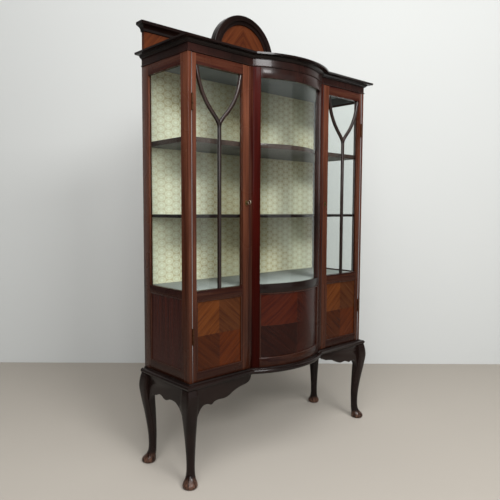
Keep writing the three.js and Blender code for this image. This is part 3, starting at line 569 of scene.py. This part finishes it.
def cloth(name, ground, figure):
    """Woven damask: a gold honeycomb with a light spot in every cell, darker and yellower in its
    middle.
    """
    finish = Finish(name)
    x, _, z = finish.axes()
    step, rise = math.pi / CELL_WIDTH, 2 * math.pi / CELL_HEIGHT
    cells = finish.maths("COSINE", x * step) * finish.maths("COSINE", z * rise) * 2
    cells = cells + finish.maths("COSINE", x * (2 * step))
    lattice = 1 - finish.between(cells, -1.35, -0.55)
    ring = finish.between(cells, 0.2, 0.7) - finish.between(cells, 1.0, 1.5)
    spot = finish.between(cells, 2.2, 2.7)
    threads = finish.noise(finish.stretched((1, 1, 8)), 160.0, 2.0)
    warm = finish.between(finish.noise(finish.place, 4.0, 3.0), 0.38, 0.68)
    colour = finish.mix(warm * 0.45, ground, (0.66, 0.58, 0.33, 1))
    motif = finish.maths("MAXIMUM", lattice, ring * 0.7)
    colour = finish.mix(motif * (0.5 + 0.3 * warm), colour, figure)
    colour = finish.mix(spot * 0.3, colour, (0.86, 0.88, 0.80, 1))
    colour = finish.mix(threads * 0.25, colour, (0.55, 0.56, 0.47, 1))
    # Darker and yellower towards the middle of the back.
    darker_middle = 1 - finish.between(abs(x), 0.05, 0.22)
    colour = finish.mix(darker_middle * 0.9, colour, (0.55, 0.53, 0.47, 1), "MULTIPLY")
    return finish.surface(colour, 0.92 - 0.25 * motif, threads * 0.4 + motif, 0.35, 0.25 * MM)


def plain_cloth(name, ground, dust):
    """Plain woven cloth glued to a board."""
    finish = Finish(name)
    turn = 2 * math.pi / THREAD
    warp, weft = (finish.maths("SINE", axis * turn) for axis in finish.axes()[:2])
    clouds = finish.noise(finish.place, 6.0, 4.0)
    colour = finish.mix(finish.between(clouds, 0.4, 0.75) * 0.5, ground, dust)
    return finish.surface(colour, 0.86 + 0.1 * clouds, warp * weft, 0.25)


def pane(name):
    """Clear drawn glass, faintly green and faintly rippled."""
    finish = Finish(name)
    ripple = finish.noise(finish.stretched((1, 1, 0.4)), 7.0, 1.0)
    bend = finish.relief(ripple, 0.05, 1.0 * MM)
    clear = finish.node("ShaderNodeBsdfTransparent", None, {"Color": (0.975, 0.99, 0.985, 1)})
    sockets = {"Color": (0.92, 0.96, 0.95, 1), "Roughness": 0.015, "Normal": bend}
    mirror = finish.node("ShaderNodeBsdfGlossy", None, sockets)
    share = finish.read(finish.node("ShaderNodeFresnel", None, {"IOR": 1.48}))
    return finish.blended(share * (1 - finish.from_behind()), clear, mirror)


def metal(name, bright, dull, rough):
    """Metal that has dulled in places."""
    finish = Finish(name)
    tarnish = finish.between(finish.noise(finish.place, 120.0, 4.0), 0.35, 0.7)
    colour = finish.mix(tarnish, bright, dull)
    return finish.surface(colour, rough + 0.2 * tarnish, tarnish, 0.1, SEAT, {"Metallic": 1.0})


def bare_board(name, pale, deep):
    """Unpolished board with a dry open grain."""
    finish = Finish(name)
    grain = finish.noise(finish.stretched(ALONG["x"]), 4.0, 5.0, 0.4)
    clouds = finish.noise(finish.place, 4.0, 3.0)
    colour = finish.mix(finish.between(grain * 0.7 + clouds * 0.3, 0.35, 0.65), deep, pale)
    return finish.surface(colour, 0.7 + 0.15 * clouds, grain, 0.3, 0.4 * MM)


def make_finishes(colours):
    """Every finish of the cabinet by name."""
    mahogany, deep = solid(colours.mahogany), solid(colours.mahogany_deep)
    black, jet = solid(colours.ebonised), solid(colours.ebonised, 0.45)
    light, shade = solid(colours.veneer), solid(colours.veneer_deep)
    brown, brown_deep = solid(colours.mahogany, 0.55), solid(colours.red, 0.5)
    bow_light = (colours.veneer[0] * 0.5, colours.veneer[1] * 0.28, colours.veneer[2] * 0.4, 1)
    made = {}
    for axis in ALONG:
        made["brown_" + axis] = wood("brown_mahogany_along_" + axis, brown, brown_deep, axis)
    for side, _ in SIDES:
        centre = centre_of(side + "_door_panel")
        made[side + "_veneer"] = veneer(side + "_quartered_veneer", centre, light, shade)
    return made | {
        "mahogany": wood("mahogany_along_z", mahogany, deep, "z"),
        "red": wood(
            "red_mahogany", solid(colours.red), solid(colours.red, 0.45), "z", 0.2, 0.02, 0.02, 0.7
        ),
        "claret": wood("claret_mahogany", (0.090, 0.020, 0.015, 1), (0.045, 0.009, 0.007, 1), "z"),
        "bar": wood("bar_mahogany", solid(colours.mahogany, 0.18), black, "z", 0.15, 0.5, 0.4),
        "bead": wood("bead_mahogany", solid(colours.mahogany, 0.6), deep, "x", 0.2, 0.2, 0.2),
        "dark": dark_wood("dark_polish", black, jet),
        "reddish": dark_wood("dark_red_polish", (0.024, 0.009, 0.007, 1), black),
        "leg": dark_wood("dark_polish_of_the_legs", black, jet, worn=0.06),
        "edge": dark_wood("shelf_edge", (0.050, 0.034, 0.028, 1), (0.030, 0.018, 0.014, 1)),
        # Painted shade: the lower quarters of the bow veneer are much darker than the upper ones.
        "bow_veneer": veneer(
            "bow_quartered_veneer", centre_of("bow_panel"), bow_light, solid(colours.red, 0.55),
            lower_quarter_shade=(0.5, 0.4, 0.32, 1),
        ),
        "gallery_veneer": veneer(
            "matched_veneer", UP * ARCH_CENTRE, (0.078, 0.021, 0.007, 1),
            (0.037, 0.009, 0.004, 1), 0.75, False,
        ),
        "cloth": cloth("damask_lining", solid(colours.cloth), solid(colours.gold)),
        "floor": plain_cloth("floor_lining", (0.27, 0.29, 0.27, 1), (0.21, 0.22, 0.19, 1)),
        "ceiling": plain_cloth("ceiling_lining", (0.26, 0.29, 0.31, 1), (0.17, 0.19, 0.20, 1)),
        "under": plain_cloth("underside_lining", (0.20, 0.20, 0.185, 1), (0.13, 0.13, 0.12, 1)),
        "inside": plain_cloth("inside_paint", (0.17, 0.175, 0.185, 1), (0.11, 0.115, 0.12, 1)),
        "glass": pane("old_glass"),
        "brass": metal("aged_brass", solid(colours.brass, 0.5), solid(colours.brass, 0.15), 0.3),
        "hinge": metal("dark_brass", (0.075, 0.035, 0.018, 1), (0.03, 0.014, 0.008, 1), 0.5),
        "key": metal("worn_key", (0.34, 0.30, 0.24, 1), (0.10, 0.07, 0.045, 1), 0.3),
        "steel": metal("dull_steel", (0.35, 0.34, 0.32, 1), (0.14, 0.12, 0.10, 1), 0.4),
        "board": bare_board("bare_board", (0.20, 0.10, 0.045, 1), (0.10, 0.045, 0.02, 1)),
    }


# ---- operators ----


class CabinetOperator(Operator):
    """Shared by the steps that make the cabinet."""

    bl_options = {"REGISTER"}

    def execute(self, context):
        settings = context.scene.cabinet
        if not FINISHES:
            FINISHES.update(make_finishes(settings.colours))
        self.make(settings.sizes)
        return {"FINISHED"}


class CABINET_OT_carcass(CabinetOperator):
    """Makes the side frames, posts, shelves and boards"""

    bl_idname = "cabinet.carcass"
    bl_label = "Carcass"

    def make(self, sizes):
        inner_face = low("right_side_frame").x + 2 * MM
        cuts = [(BACKWARDS * (MIDDLE_Y + edge * SIDE_SIGHT), BACKWARDS) for edge in (-1, 1)]

        def member(centre):
            if abs(centre.x) < inner_face:
                return 2
            return int(abs(centre.y - MIDDLE_Y) < SIDE_SIGHT)

        for side, _ in SIDES:
            eased_copy(
                side + "_side_frame", sizes.arris, "mahogany", "brown_y", "inside",
                cuts=cuts, pick=member,
            )
            eased_copy(side + "_bow_post", sizes.arris, "brown_z")
            eased_copy(side + "_side_panel", 0, "claret")
            dress(side + "_side_glass", "glass")
        eased_copy("middle_shelf", sizes.arris, "dark")
        under = high("upper_shelf").z - 18 * MM
        eased_copy(
            "upper_shelf", sizes.arris, "edge", "under", pick=lambda centre: int(centre.z < under)
        )
        eased_copy("display_floor", sizes.arris, "floor")
        eased_copy("ceiling_board", 0, "ceiling")
        dress("back_panel", "board")
        dress("top_board", "brown_x")
        dress("back_rail", "board")


BASE_LAP = 48 * MM


def base_profile():
    """Half-round nose, a fillet and a hollow that runs up to the carcass."""
    nose = quarter_round((10.5, 8), 9.5, -58, 148, 12)
    hollow = quarter_round((11.5, 19), 8.2, 262, -75, 6)
    return [(-50, 0), (13, 0), *nose, (9.5, 16.2), (9.5, 17), *hollow, (3, 21), (-50, 21)]


def frieze_profile(thickness, height):
    """Flat fascia with an astragal along its lower edge."""
    astragal = quarter_round((0.6, 3), 2.6, -80, 160, 8)
    return [(-thickness, 0.3), (0, 0.3), *astragal, (0, 5.9), (0, height), (-thickness, height)]


def cornice_profile(overhang, height, lap):
    """A fillet, a small ovolo, a hollow and a flat top member."""
    hollow = quarter_round((overhang - 4, 2.2), 18, 180, -75, 10)
    ovolo = quarter_round((3, 3.2), 2.4, -90, 90, 5)
    rise = [(x, z) for x, z in hollow if z < height - 8]
    top = height - 7.4
    return [
        (-lap, 0.3), (3, 0.3), *ovolo, (7, 3.8), *rise[2:], (overhang - 3, top - 0.6),
        (overhang - 3, top), (overhang, top + 0.5), (overhang, height), (-lap, height),
    ]


class CABINET_OT_mouldings(CabinetOperator):
    """Runs the base moulding, the frieze and the cornice round the front and the ends"""

    bl_idname = "cabinet.mouldings"
    bl_label = "Mouldings"

    def make(self, sizes):
        bm = swept(in_metres(base_profile()), plan_stations(BASE_BOTTOM))
        self.base_slab(bm)
        stand_in("base_moulding", bm, ["dark"], "base_board")
        profile = frieze_profile(16, (FRIEZE_TOP - FRIEZE_BOTTOM) / MM)
        bm = swept(in_metres(profile), plan_stations(FRIEZE_BOTTOM))
        stand_in("frieze_board", bm, ["reddish"], "frieze")
        profile = cornice_profile(CORNICE_OVERHANG / MM, (CORNICE_TOP - FRIEZE_TOP) / MM, 8)
        bm = swept(in_metres(profile), plan_stations(FRIEZE_TOP))
        stand_in("cornice_moulding", bm, ["dark"], "cornice")

    def base_slab(self, bm):
        """Fills the base behind its moulding."""
        side, front = HALF_WIDTH - BASE_LAP, FRONT + BASE_LAP
        bow = [bow_point(BOW_ANGLE * (i / 8 - 1), BOW_RADIUS - BASE_LAP) for i in range(17)]
        outline = [
            Vector((-side, BACK, 0)), Vector((-side, front, 0)), *bow,
            Vector((side, front, 0)), Vector((side, BACK, 0)),
        ]
        corners = [bm.verts.new(point + UP * (BASE_BOTTOM + GAP)) for point in outline]
        slab = bmesh.ops.extrude_face_region(bm, geom=[bm.faces.new(corners)])["geom"]
        raised = [item for item in slab if isinstance(item, bmesh.types.BMVert)]
        bmesh.ops.translate(bm, verts=raised, vec=UP * (CARCASS_BOTTOM - BASE_BOTTOM - 2 * GAP))


def arch_stations():
    """Stations up one leg of the arch, over it and down the other, facing the front."""
    foot, centre = (Vector((0, GALLERY_FACE - GAP, z)) for z in (GALLERY_BOTTOM, ARCH_CENTRE))
    angles = [math.pi * i / 56 for i in range(57)]
    return [
        station(foot, RIGHT, TOWARDS_FRONT),
        *[station(centre, (math.cos(a), 0, math.sin(a)), TOWARDS_FRONT) for a in angles],
        station(foot, -RIGHT, TOWARDS_FRONT),
    ]


def arch_profile(outer, inner, depth):
    """Moulding of the arch: outer round, flat, a step down and an inner round."""
    return [
        (inner, 0), (inner, 3.6), *quarter_round((inner + 2.8, 3.6), 2.8, 180, -90, 5),
        (inner + 7.2, 6.4), (inner + 7.8, 5.6), (inner + 8.6, 5.6), (inner + 9.2, 7),
        (inner + 14, 7), (inner + 14.6, 10.6),
        *quarter_round((inner + 17.4, 10.6), 2.4, 180, -90, 5), (outer - 15.5, depth),
        (outer - 14.8, depth - 1), (outer - 14, depth - 1), (outer - 13.3, depth),
        *quarter_round((outer - 4, depth - 4), 4, 90, -90, 6), (outer, 0),
    ]


def cap_profile(overhang, height, thickness):
    """Moulding of a gallery cap: a fillet, a hollow and a flat top member."""
    rise = height - 12.5
    hollow = quarter_round((overhang - 4, 4.2), 15.5, 180, -72, 10)
    run = [(x, z) for x, z in hollow if z < rise]
    return [
        (-thickness, 0), (3, 0), *quarter_round((3, 2), 2, -90, 90, 5), (5.6, 4.2), *run,
        (overhang - 5, rise), (overhang - 5, rise + 0.8), (overhang, rise + 1.4), (overhang, height),
        (-thickness, height),
    ]


ARCH_WIDTH = 39.5
HOOD_WIDTH = 25.2


class CABINET_OT_gallery(CabinetOperator):
    """Makes the gallery board, its caps and the moulded arch"""

    bl_idname = "cabinet.gallery"
    bl_label = "Gallery"

    def make(self, sizes):
        eased_copy("gallery_board", 0, "gallery_veneer")
        thickness = high("gallery_board").y - GALLERY_FACE
        outer, back = ARCH_RADIUS / MM, -(thickness + GAP) / MM
        inner, depth = outer - ARCH_WIDTH, (GALLERY_FACE - GAP - low("gallery_arch").y) / MM
        bm = swept(in_metres(arch_profile(outer, inner, depth)), arch_stations())
        hood = [(outer - HOOD_WIDTH, 0.1), (outer, 0.1), (outer, back), (outer - HOOD_WIDTH, back)]
        sweep(bm, in_metres(hood), arch_stations()[1:-1])
        stand_in("arch_moulding", bm, ["dark"], "gallery_arch")
        profile = in_metres(cap_profile(CAP_OVERHANG / MM, CAP_HEIGHT / MM, thickness / MM))
        for side, sign in SIDES:
            out = RIGHT * sign
            inner = Vector((sign * low("right_gallery_cap").x, GALLERY_FACE, ARCH_CENTRE))
            corner = Vector((sign * GALLERY_HALF, GALLERY_FACE, ARCH_CENTRE))
            bm = swept(profile, [
                station(inner, TOWARDS_FRONT),
                station(corner, TOWARDS_FRONT + out, stretch=math.sqrt(2)),
                station(corner + BACKWARDS * thickness, out),
            ])
            stand_in(side + "_cap_moulding", bm, ["dark"], side + "_gallery_cap")


class CABINET_OT_bow(CabinetOperator):
    """Makes the frame, glass and veneered panel of the fixed bow"""

    bl_idname = "cabinet.bow"
    bl_label = "Bow"

    def make(self, sizes):
        # The right bow stile takes the darker reddish polish as painted shade; it is the same red wood
        # as the left stile.
        members = {
            "left_bow_stile": "red", "right_bow_stile": "reddish", "bow_top_rail": "reddish",
            "bow_middle_rail": "dark", "bow_bottom_rail": "brown_x",
        }
        for node, finish in members.items():
            eased_copy(node, sizes.arris, finish)
        eased_copy("bow_glass", 0, "glass")
        eased_copy("bow_panel", 0, "bow_veneer")


class CABINET_OT_doors(CabinetOperator):
    """Makes the door frames and panels, and glazes the doors"""

    bl_idname = "cabinet.doors"
    bl_label = "Doors"

    def make(self, sizes):
        for side, sign in SIDES:
            eased_copy(
                side + "_door_frame", sizes.arris, "mahogany", "brown_x",
                cuts=[(RIGHT * sign * edge, RIGHT) for edge in (SIGHT_INNER, SIGHT_OUTER)],
                pick=lambda centre: int(SIGHT_INNER < abs(centre.x) < SIGHT_OUTER),
            )
            eased_copy(side + "_door_panel", 0, side + "_veneer")
            dress(side + "_door_glass", "glass")


def bar_profile(width, face, depth):
    """Astragal of a glazing bar: a narrow face between two ovolos, square at the glass."""
    half, flat, square = width / 2, face / 2, 0.55 * depth
    ovolo = [math.radians(15 * i) for i in range(1, 7)]
    left = [
        (-half + (half - flat) * (1 - math.cos(t)), square + (depth - square) * math.sin(t))
        for t in ovolo
    ]
    right = [(-x, z) for x, z in reversed(left)]
    return [(-half, 0), (-half, square), *left, *right, (half, square), (half, 0)]


BAR_WIDTH = 13 * MM
FORK_DROP = 203 * MM
ARM_CURVE = [(0, 0), (0.03, 0.2), (0.85, 0.3), (1, 1.02)]  # shares of the spread and the drop


class CABINET_OT_bars(CabinetOperator):
    """Makes the forked glazing bars of the doors"""

    bl_idname = "cabinet.bars"
    bl_label = "Glazing bars"

    def make(self, sizes):
        face, glass = low("right_door_bars").y, high("right_door_bars").y
        middle = (SIGHT_INNER + SIGHT_OUTER) / 2
        spread = (SIGHT_OUTER - SIGHT_INNER - BAR_WIDTH) / 2
        fork = GLASS_TOP - FORK_DROP
        profile = bar_profile(BAR_WIDTH, sizes.bar_face, glass - face)
        for side, sign in SIDES:
            foot = Vector((sign * middle, glass, GLASS_BOTTOM))
            head = foot + UP * (fork - GLASS_BOTTOM + BAR_WIDTH * 0.3)
            bm = swept(profile, [station(end, RIGHT, TOWARDS_FRONT) for end in (foot, head)])
            for arm in (-1, 1):
                curve = interpolate_bezier(*[
                    Vector((sign * middle + arm * spread * across, glass, fork + FORK_DROP * up))
                    for across, up in ARM_CURVE
                ], 29)
                path = []
                for before, after in zip([curve[0], *curve], [*curve[1:], curve[-1]]):
                    out = (after - before).normalized().cross(BACKWARDS)
                    path.append(station(before.lerp(after, 0.5), out, TOWARDS_FRONT))
                sweep(bm, profile, path)
            split(bm, UP * (GLASS_TOP - GAP), UP, clear=True)
            loose = [edge for edge in bm.edges if edge.is_boundary]
            bmesh.ops.holes_fill(bm, edges=loose, sides=0)
            stand_in(side + "_glazing_bars", bm, ["bar"], side + "_door_bars")


def bead_profile(width, depth):
    """Small quirked bead that stands on a panel against its frame."""
    quirk = depth * 0.8
    nose = quarter_round((width * 0.45, depth * 0.42), depth * 0.58, 100, -100, 8)
    return [(0, 0), (0, quirk), (width * 0.16, quirk), *nose, (width, 0.12 * depth), (width, 0)]


def holding_profile(width, depth):
    """Quarter-round strip that holds a pane in its rebate."""
    nose = quarter_round((width * 0.35, depth * 0.35), depth * 0.62, 90, -90, 6)
    return [(0, 0), (0, depth), *nose, (width, 0)]


def round_opening(name, lowest, highest, across, facing, profile, finish, body):
    """One closed run of bead round a rectangular opening."""
    stations = rectangle_stations(lowest, highest, across, facing)
    finish_piece(name, swept(profile, stations, closed=True), [finish], body)


class CABINET_OT_beads(CabinetOperator):
    """Lays the panel beads and the beads that hold the glass"""

    bl_idname = "cabinet.beads"
    bl_label = "Beads"

    def make(self, sizes):
        for side, sign in SIDES:
            self.door_beads(side, sign, sizes)
            self.side_beads(side, sign, sizes)
        self.bow_bead(sizes)

    def door_beads(self, side, sign, sizes):
        """Beads of a door: round its panel in front and round its glass behind."""
        panel = low(side + "_door_panel").y
        round_opening(
            side + "_door_panel_bead", Vector((sign * SIGHT_INNER, panel - SEAT, PANEL_BOTTOM)),
            Vector((sign * SIGHT_OUTER, panel - SEAT, PANEL_TOP)), RIGHT, TOWARDS_FRONT,
            bead_profile(sizes.panel_bead, panel - FRONT - SETBACK), "bead", side + "_door",
        )
        glass, lap = high(side + "_door_glass").y + GAP, REBATE - GAP
        depth = high(side + "_door_frame").y - glass - GAP
        round_opening(
            side + "_door_glazing_bead",
            Vector((sign * (SIGHT_INNER - lap), glass, GLASS_BOTTOM - lap)),
            Vector((sign * (SIGHT_OUTER + lap), glass, GLASS_TOP + lap)), RIGHT, BACKWARDS,
            holding_profile(sizes.glazing_bead, depth), "brown_z", side + "_door",
        )

    def side_beads(self, side, sign, sizes):
        """Beads of a side frame: round its panel outside and round its glass inside."""
        out = RIGHT * sign
        lowest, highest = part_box(side + "_side_panel")
        face, inset = high("right_side_panel").x + SEAT, REBATE - 0.5 * MM
        round_opening(
            side + "_side_panel_bead",
            Vector((sign * face, MIDDLE_Y - SIDE_SIGHT, lowest.z + inset)),
            Vector((sign * face, MIDDLE_Y + SIDE_SIGHT, highest.z - inset)), BACKWARDS, out,
            bead_profile(sizes.panel_bead, HALF_WIDTH - face - SETBACK), "bead", "carcass",
        )
        lowest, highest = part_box(side + "_side_glass")
        glass, reach, play = low("right_side_glass").x - GAP, SIDE_SIGHT + REBATE - GAP, 0.2 * MM
        depth = glass - low("right_side_frame").x - GAP
        round_opening(
            side + "_side_glazing_bead",
            Vector((sign * glass, MIDDLE_Y - reach, lowest.z - play)),
            Vector((sign * glass, MIDDLE_Y + reach, highest.z + play)), BACKWARDS, -out,
            holding_profile(sizes.glazing_bead, depth), "brown_z", "carcass",
        )

    def bow_bead(self, sizes):
        """Bead round the bow's panel: two bent runs between two upright ones."""
        recess, stile = 6 * MM + GAP, 27 * MM
        radius = BOW_RADIUS - recess + SEAT
        sight = math.asin((BOW_HALF_WIDTH - stile) / BOW_RADIUS)
        profile = bead_profile(sizes.panel_bead, recess - 0.5 * MM)
        angles = [sight * (i / 16 - 1) for i in range(33)]
        bm = bmesh.new()
        for height, inward in ((PANEL_BOTTOM, UP), (PANEL_TOP, -UP)):
            sweep(bm, profile, [
                station(bow_point(a, radius) + UP * height, inward, bow_out(a)) for a in angles
            ])
        for turn in (-1, 1):
            point, out = bow_point(turn * sight, radius), bow_out(turn * sight)
            ends = [point + UP * height for height in (PANEL_BOTTOM, PANEL_TOP)]
            sweep(bm, profile, [station(end, -turn * UP.cross(out), out) for end in ends])
        finish_piece("bow_panel_bead", bm, ["bead"], "carcass")


# Cabriole leg, from the floor up: share of the leg's height, lean outwards along the diagonal
# and half width in millimetres, and squareness (2 is round, larger is squarer).
LEG_STATIONS = [
    (0, -3, 22, 2), (0.011, -3, 26.5, 2), (0.03, -3, 28, 2), (0.054, -5, 26, 2),
    (0.084, -11, 20.5, 2), (0.13, -16.5, 16.8, 2), (0.22, -18.5, 15.8, 2), (0.33, -18, 17.3, 2),
    (0.45, -14.5, 19.6, 2.1), (0.575, -9.5, 21.8, 2.5), (0.695, -3.5, 23.5, 3.5),
    (0.778, 0, 24.4, 5), (0.86, 1.5, 25.2, 8), (0.94, -1.5, 24.2, 10), (1, -4.5, 21.5, 12),
]


def leg_at(share):
    """Lean, half width and squareness of the leg at a share of its height, in a smooth curve."""
    rows = LEG_STATIONS
    i = max(k for k in range(len(rows) - 1) if rows[k][0] <= share)
    start, end = rows[i], rows[i + 1]
    before, after = rows[max(i - 1, 0)], rows[min(i + 2, len(rows) - 1)]
    span = end[0] - start[0]
    t = (share - start[0]) / span
    values = []
    for k in (1, 2, 3):
        leave = (end[k] - before[k]) / (end[0] - before[0]) * span
        arrive = (after[k] - start[k]) / (after[0] - start[0]) * span
        values.append(
            (2 * t**3 - 3 * t**2 + 1) * start[k] + (t**3 - 2 * t**2 + t) * leave
            + (3 * t**2 - 2 * t**3) * end[k] + (t**3 - t**2) * arrive
        )
    return values


def leg_mesh(corner, quarter, height):
    """A cabriole leg under a corner; quarter turns it from the front right corner."""
    bm = bmesh.new()
    rings = 84
    verts = bmesh.ops.create_circle(bm, cap_ends=True, radius=1, segments=48)["verts"]
    edges = list(bm.edges)
    bearing = {vert: math.atan2(vert.co.y, vert.co.x) for vert in verts}
    for ring in range(rings + 1):
        if ring:
            verts, edges = grow(bm, edges)
            for vert in verts:
                ends = [edge.other_vert(vert) for edge in vert.link_edges]
                bearing[vert] = next(bearing[end] for end in ends if end not in verts)
        share = (ring / rings) ** 1.25
        lean, half, squareness = leg_at(share)
        centre = Vector((lean, -lean, 0)) * math.sqrt(0.5) * MM
        for vert in verts:
            c, s = math.cos(bearing[vert]), math.sin(bearing[vert])
            spread = (abs(c) ** squareness + abs(s) ** squareness) ** (1 / squareness)
            vert.co = centre + Vector((c, s, 0)) * (half * MM / spread) + UP * share * height
    bmesh.ops.holes_fill(bm, edges=edges, sides=0)
    bmesh.ops.rotate(bm, verts=bm.verts, cent=(0, 0, 0), matrix=Matrix.Rotation(quarter, 3, "Z"))
    bmesh.ops.translate(bm, verts=bm.verts, vec=corner)
    return bm


class CABINET_OT_stand(CabinetOperator):
    """Makes the cabriole legs and the shaped aprons"""

    bl_idname = "cabinet.stand"
    bl_label = "Stand"

    def make(self, sizes):
        height = high("right_front_leg").z
        back = high("right_back_leg").y - high("right_front_leg").x + HALF_WIDTH
        legs = (("front", 1), ("back", 1), ("back", -1), ("front", -1))
        for quarter, (end, sign) in enumerate(legs):
            side = "right" if sign > 0 else "left"
            corner = Vector((sign * HALF_WIDTH, FRONT if end == "front" else back, 0))
            bm = leg_mesh(corner, quarter * math.pi / 2, height)
            stand_in(f"{side}_{end}_cabriole", bm, ["leg"], f"{side}_{end}_leg")
            apron = "front" if end == "front" else "side"
            eased_copy(f"{side}_{apron}_apron", 0.6 * MM, "dark")


class CABINET_OT_lining(CabinetOperator):
    """Stretches the cloth lining over the inside of the back"""

    bl_idname = "cabinet.lining"
    bl_label = "Lining"

    def make(self, sizes):
        face = low("back_panel").y - 0.15 * MM
        bottom, top = high("display_floor").z + GAP, low("ceiling_board").z - GAP
        half = high("back_panel").x - 0.5 * MM
        place = Matrix.Translation((0, face, (top + bottom) / 2)) @ UPRIGHT
        bm = flat_sheet(2 * half, top - bottom, place, 40, 36)
        piece = finish_piece("back_lining", bm, ["cloth"], "carcass")


class CABINET_OT_fittings(CabinetOperator):
    """Finishes the hinges, locks, escutcheons and key"""

    bl_idname = "cabinet.fittings"
    bl_label = "Fittings"

    def make(self, sizes):
        for side, _ in SIDES:
            for height in ("lower", "upper"):
                for leaf in ("frame", "door"):
                    dress(f"{side}_{height}_hinge_{leaf}_leaf", "hinge")
            eased_copy(side + "_escutcheon", 0, "brass")
            dress(side + "_lock_case", "steel")
            dress(side + "_lock_bolt", "brass")
        eased_copy("left_door_key", 0, "key")


def stage_finish(name, colour, see_through_behind=False):
    """Even matt stage colour with a faint mottle. The wall can be seen through from behind."""
    finish = Finish(name)
    clouds = finish.noise(finish.place, 1.5, 3.0)
    tone = finish.mix(clouds * 0.12, colour, solid(colour, 0.8))
    matt = finish.node("ShaderNodeBsdfDiffuse", None, {"Color": tone})
    if not see_through_behind:
        return finish.ended(matt)
    return finish.blended(finish.from_behind(), matt, finish.node("ShaderNodeBsdfTransparent"))


WALL_DISTANCE = 3.49
ROOM_LIGHT = (0.80, 0.83, 0.86, 1)
LAMPS = (  # name, place, point it is turned to, size and power
    ("window_light", (-3.05, -3.15, 2.4), (0, 0, 1.1), (2.2, 2.4), 125),
    ("small_window", (-0.85, -3.6, 2.84), (0, 0, 1.4), (1.4, 0.84), 110),
    ("ceiling_light", (-1.3, -2.0, 4.3), (0, 0, 0.7), (4.5, 3.0), 200),
    ("pale_front_wall", (1.1, -4.2, 1.3), (0.2, 0, 1.2), (3.0, 2.6), 16),
)


class CABINET_OT_stage(Operator):
    """Sets the floor, the wall, the lights and the camera"""

    bl_idname = "cabinet.stage"
    bl_label = "Stage"
    bl_options = {"REGISTER"}

    def execute(self, context):
        scene = context.scene
        yaw, pitch, roll = math.radians(42.441), math.radians(4.2976), math.radians(0.2227)
        eye = Vector((-1.6232, -1.6481, 1.0194))
        data = bpy.data.cameras.new("camera")
        data.sensor_width = 36
        data.lens = 38.4
        scene.camera = bpy.data.objects.new("camera", data)
        scene.collection.objects.link(scene.camera)
        level = Matrix.Rotation(-yaw, 4, "Z")
        tilt = Matrix.Rotation(math.pi / 2 - pitch, 4, "X") @ Matrix.Rotation(roll, 4, "Z")
        scene.camera.matrix_world = Matrix.Translation(eye) @ level @ tilt
        scene.view_settings.view_transform = "Standard"

        floor = stage_finish("pale_floor", (0.37, 0.34, 0.30, 1))
        as_object("floor", flat_sheet(14, 14, Matrix.Identity(4)), [floor])
        foot = Vector((eye.x, eye.y, 0)) + level @ BACKWARDS * WALL_DISTANCE
        wall = stage_finish("pale_wall", (0.50, 0.51, 0.50, 1), True)
        place = Matrix.Translation(foot + UP * 3) @ level @ UPRIGHT
        as_object("wall", flat_sheet(14, 6, place), [wall])

        scene.world = bpy.data.worlds.new("room")
        scene.world.use_nodes = True
        sockets = scene.world.node_tree.nodes["Background"].inputs
        sockets["Color"].default_value = ROOM_LIGHT
        sockets["Strength"].default_value = 0.1
        for lamp in LAMPS:
            self.light(scene, *lamp)
        return {"FINISHED"}

    def light(self, scene, name, place, target, size, power):
        """A soft panel of light turned towards a point."""
        data = bpy.data.lights.new(name, "AREA")
        data.shape = "RECTANGLE"
        data.size, data.size_y = size
        data.energy = power
        lamp = bpy.data.objects.new(name, data)
        scene.collection.objects.link(lamp)
        lamp.location = place
        lamp.rotation_euler = (Vector(target) - Vector(place)).to_track_quat("-Z", "Y").to_euler()


STEPS = (
    CABINET_OT_stage,
    CABINET_OT_carcass,
    CABINET_OT_mouldings,
    CABINET_OT_gallery,
    CABINET_OT_bow,
    CABINET_OT_doors,
    CABINET_OT_bars,
    CABINET_OT_beads,
    CABINET_OT_stand,
    CABINET_OT_lining,
    CABINET_OT_fittings,
)


class CABINET_PT_steps(Panel):
    """Lists the steps and settings of the cabinet"""

    bl_label = "China Cabinet"
    bl_space_type = "VIEW_3D"
    bl_region_type = "UI"
    bl_category = "Cabinet"

    def draw(self, context):
        settings = context.scene.cabinet
        for group in (settings.sizes, settings.colours):
            box = self.layout.box()
            for key in group.bl_rna.properties.keys():
                if key not in {"rna_type", "name"}:
                    box.prop(group, key)
        for step in STEPS:
            self.layout.operator(step.bl_idname)


CLASSES = (CabinetSizes, CabinetColours, CabinetSettings, *STEPS, CABINET_PT_steps)


def register():
    for item in CLASSES:
        bpy.utils.register_class(item)
    bpy.types.Scene.cabinet = PointerProperty(type=CabinetSettings)


def unregister():
    del bpy.types.Scene.cabinet
    for item in reversed(CLASSES):
        bpy.utils.unregister_class(item)


def main():
    """Registers the add-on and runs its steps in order."""
    register()
    for step in STEPS:
        name = step.bl_idname.split(".")[1]
        getattr(bpy.ops.cabinet, name)()


if __name__ == "__main__":
    main()
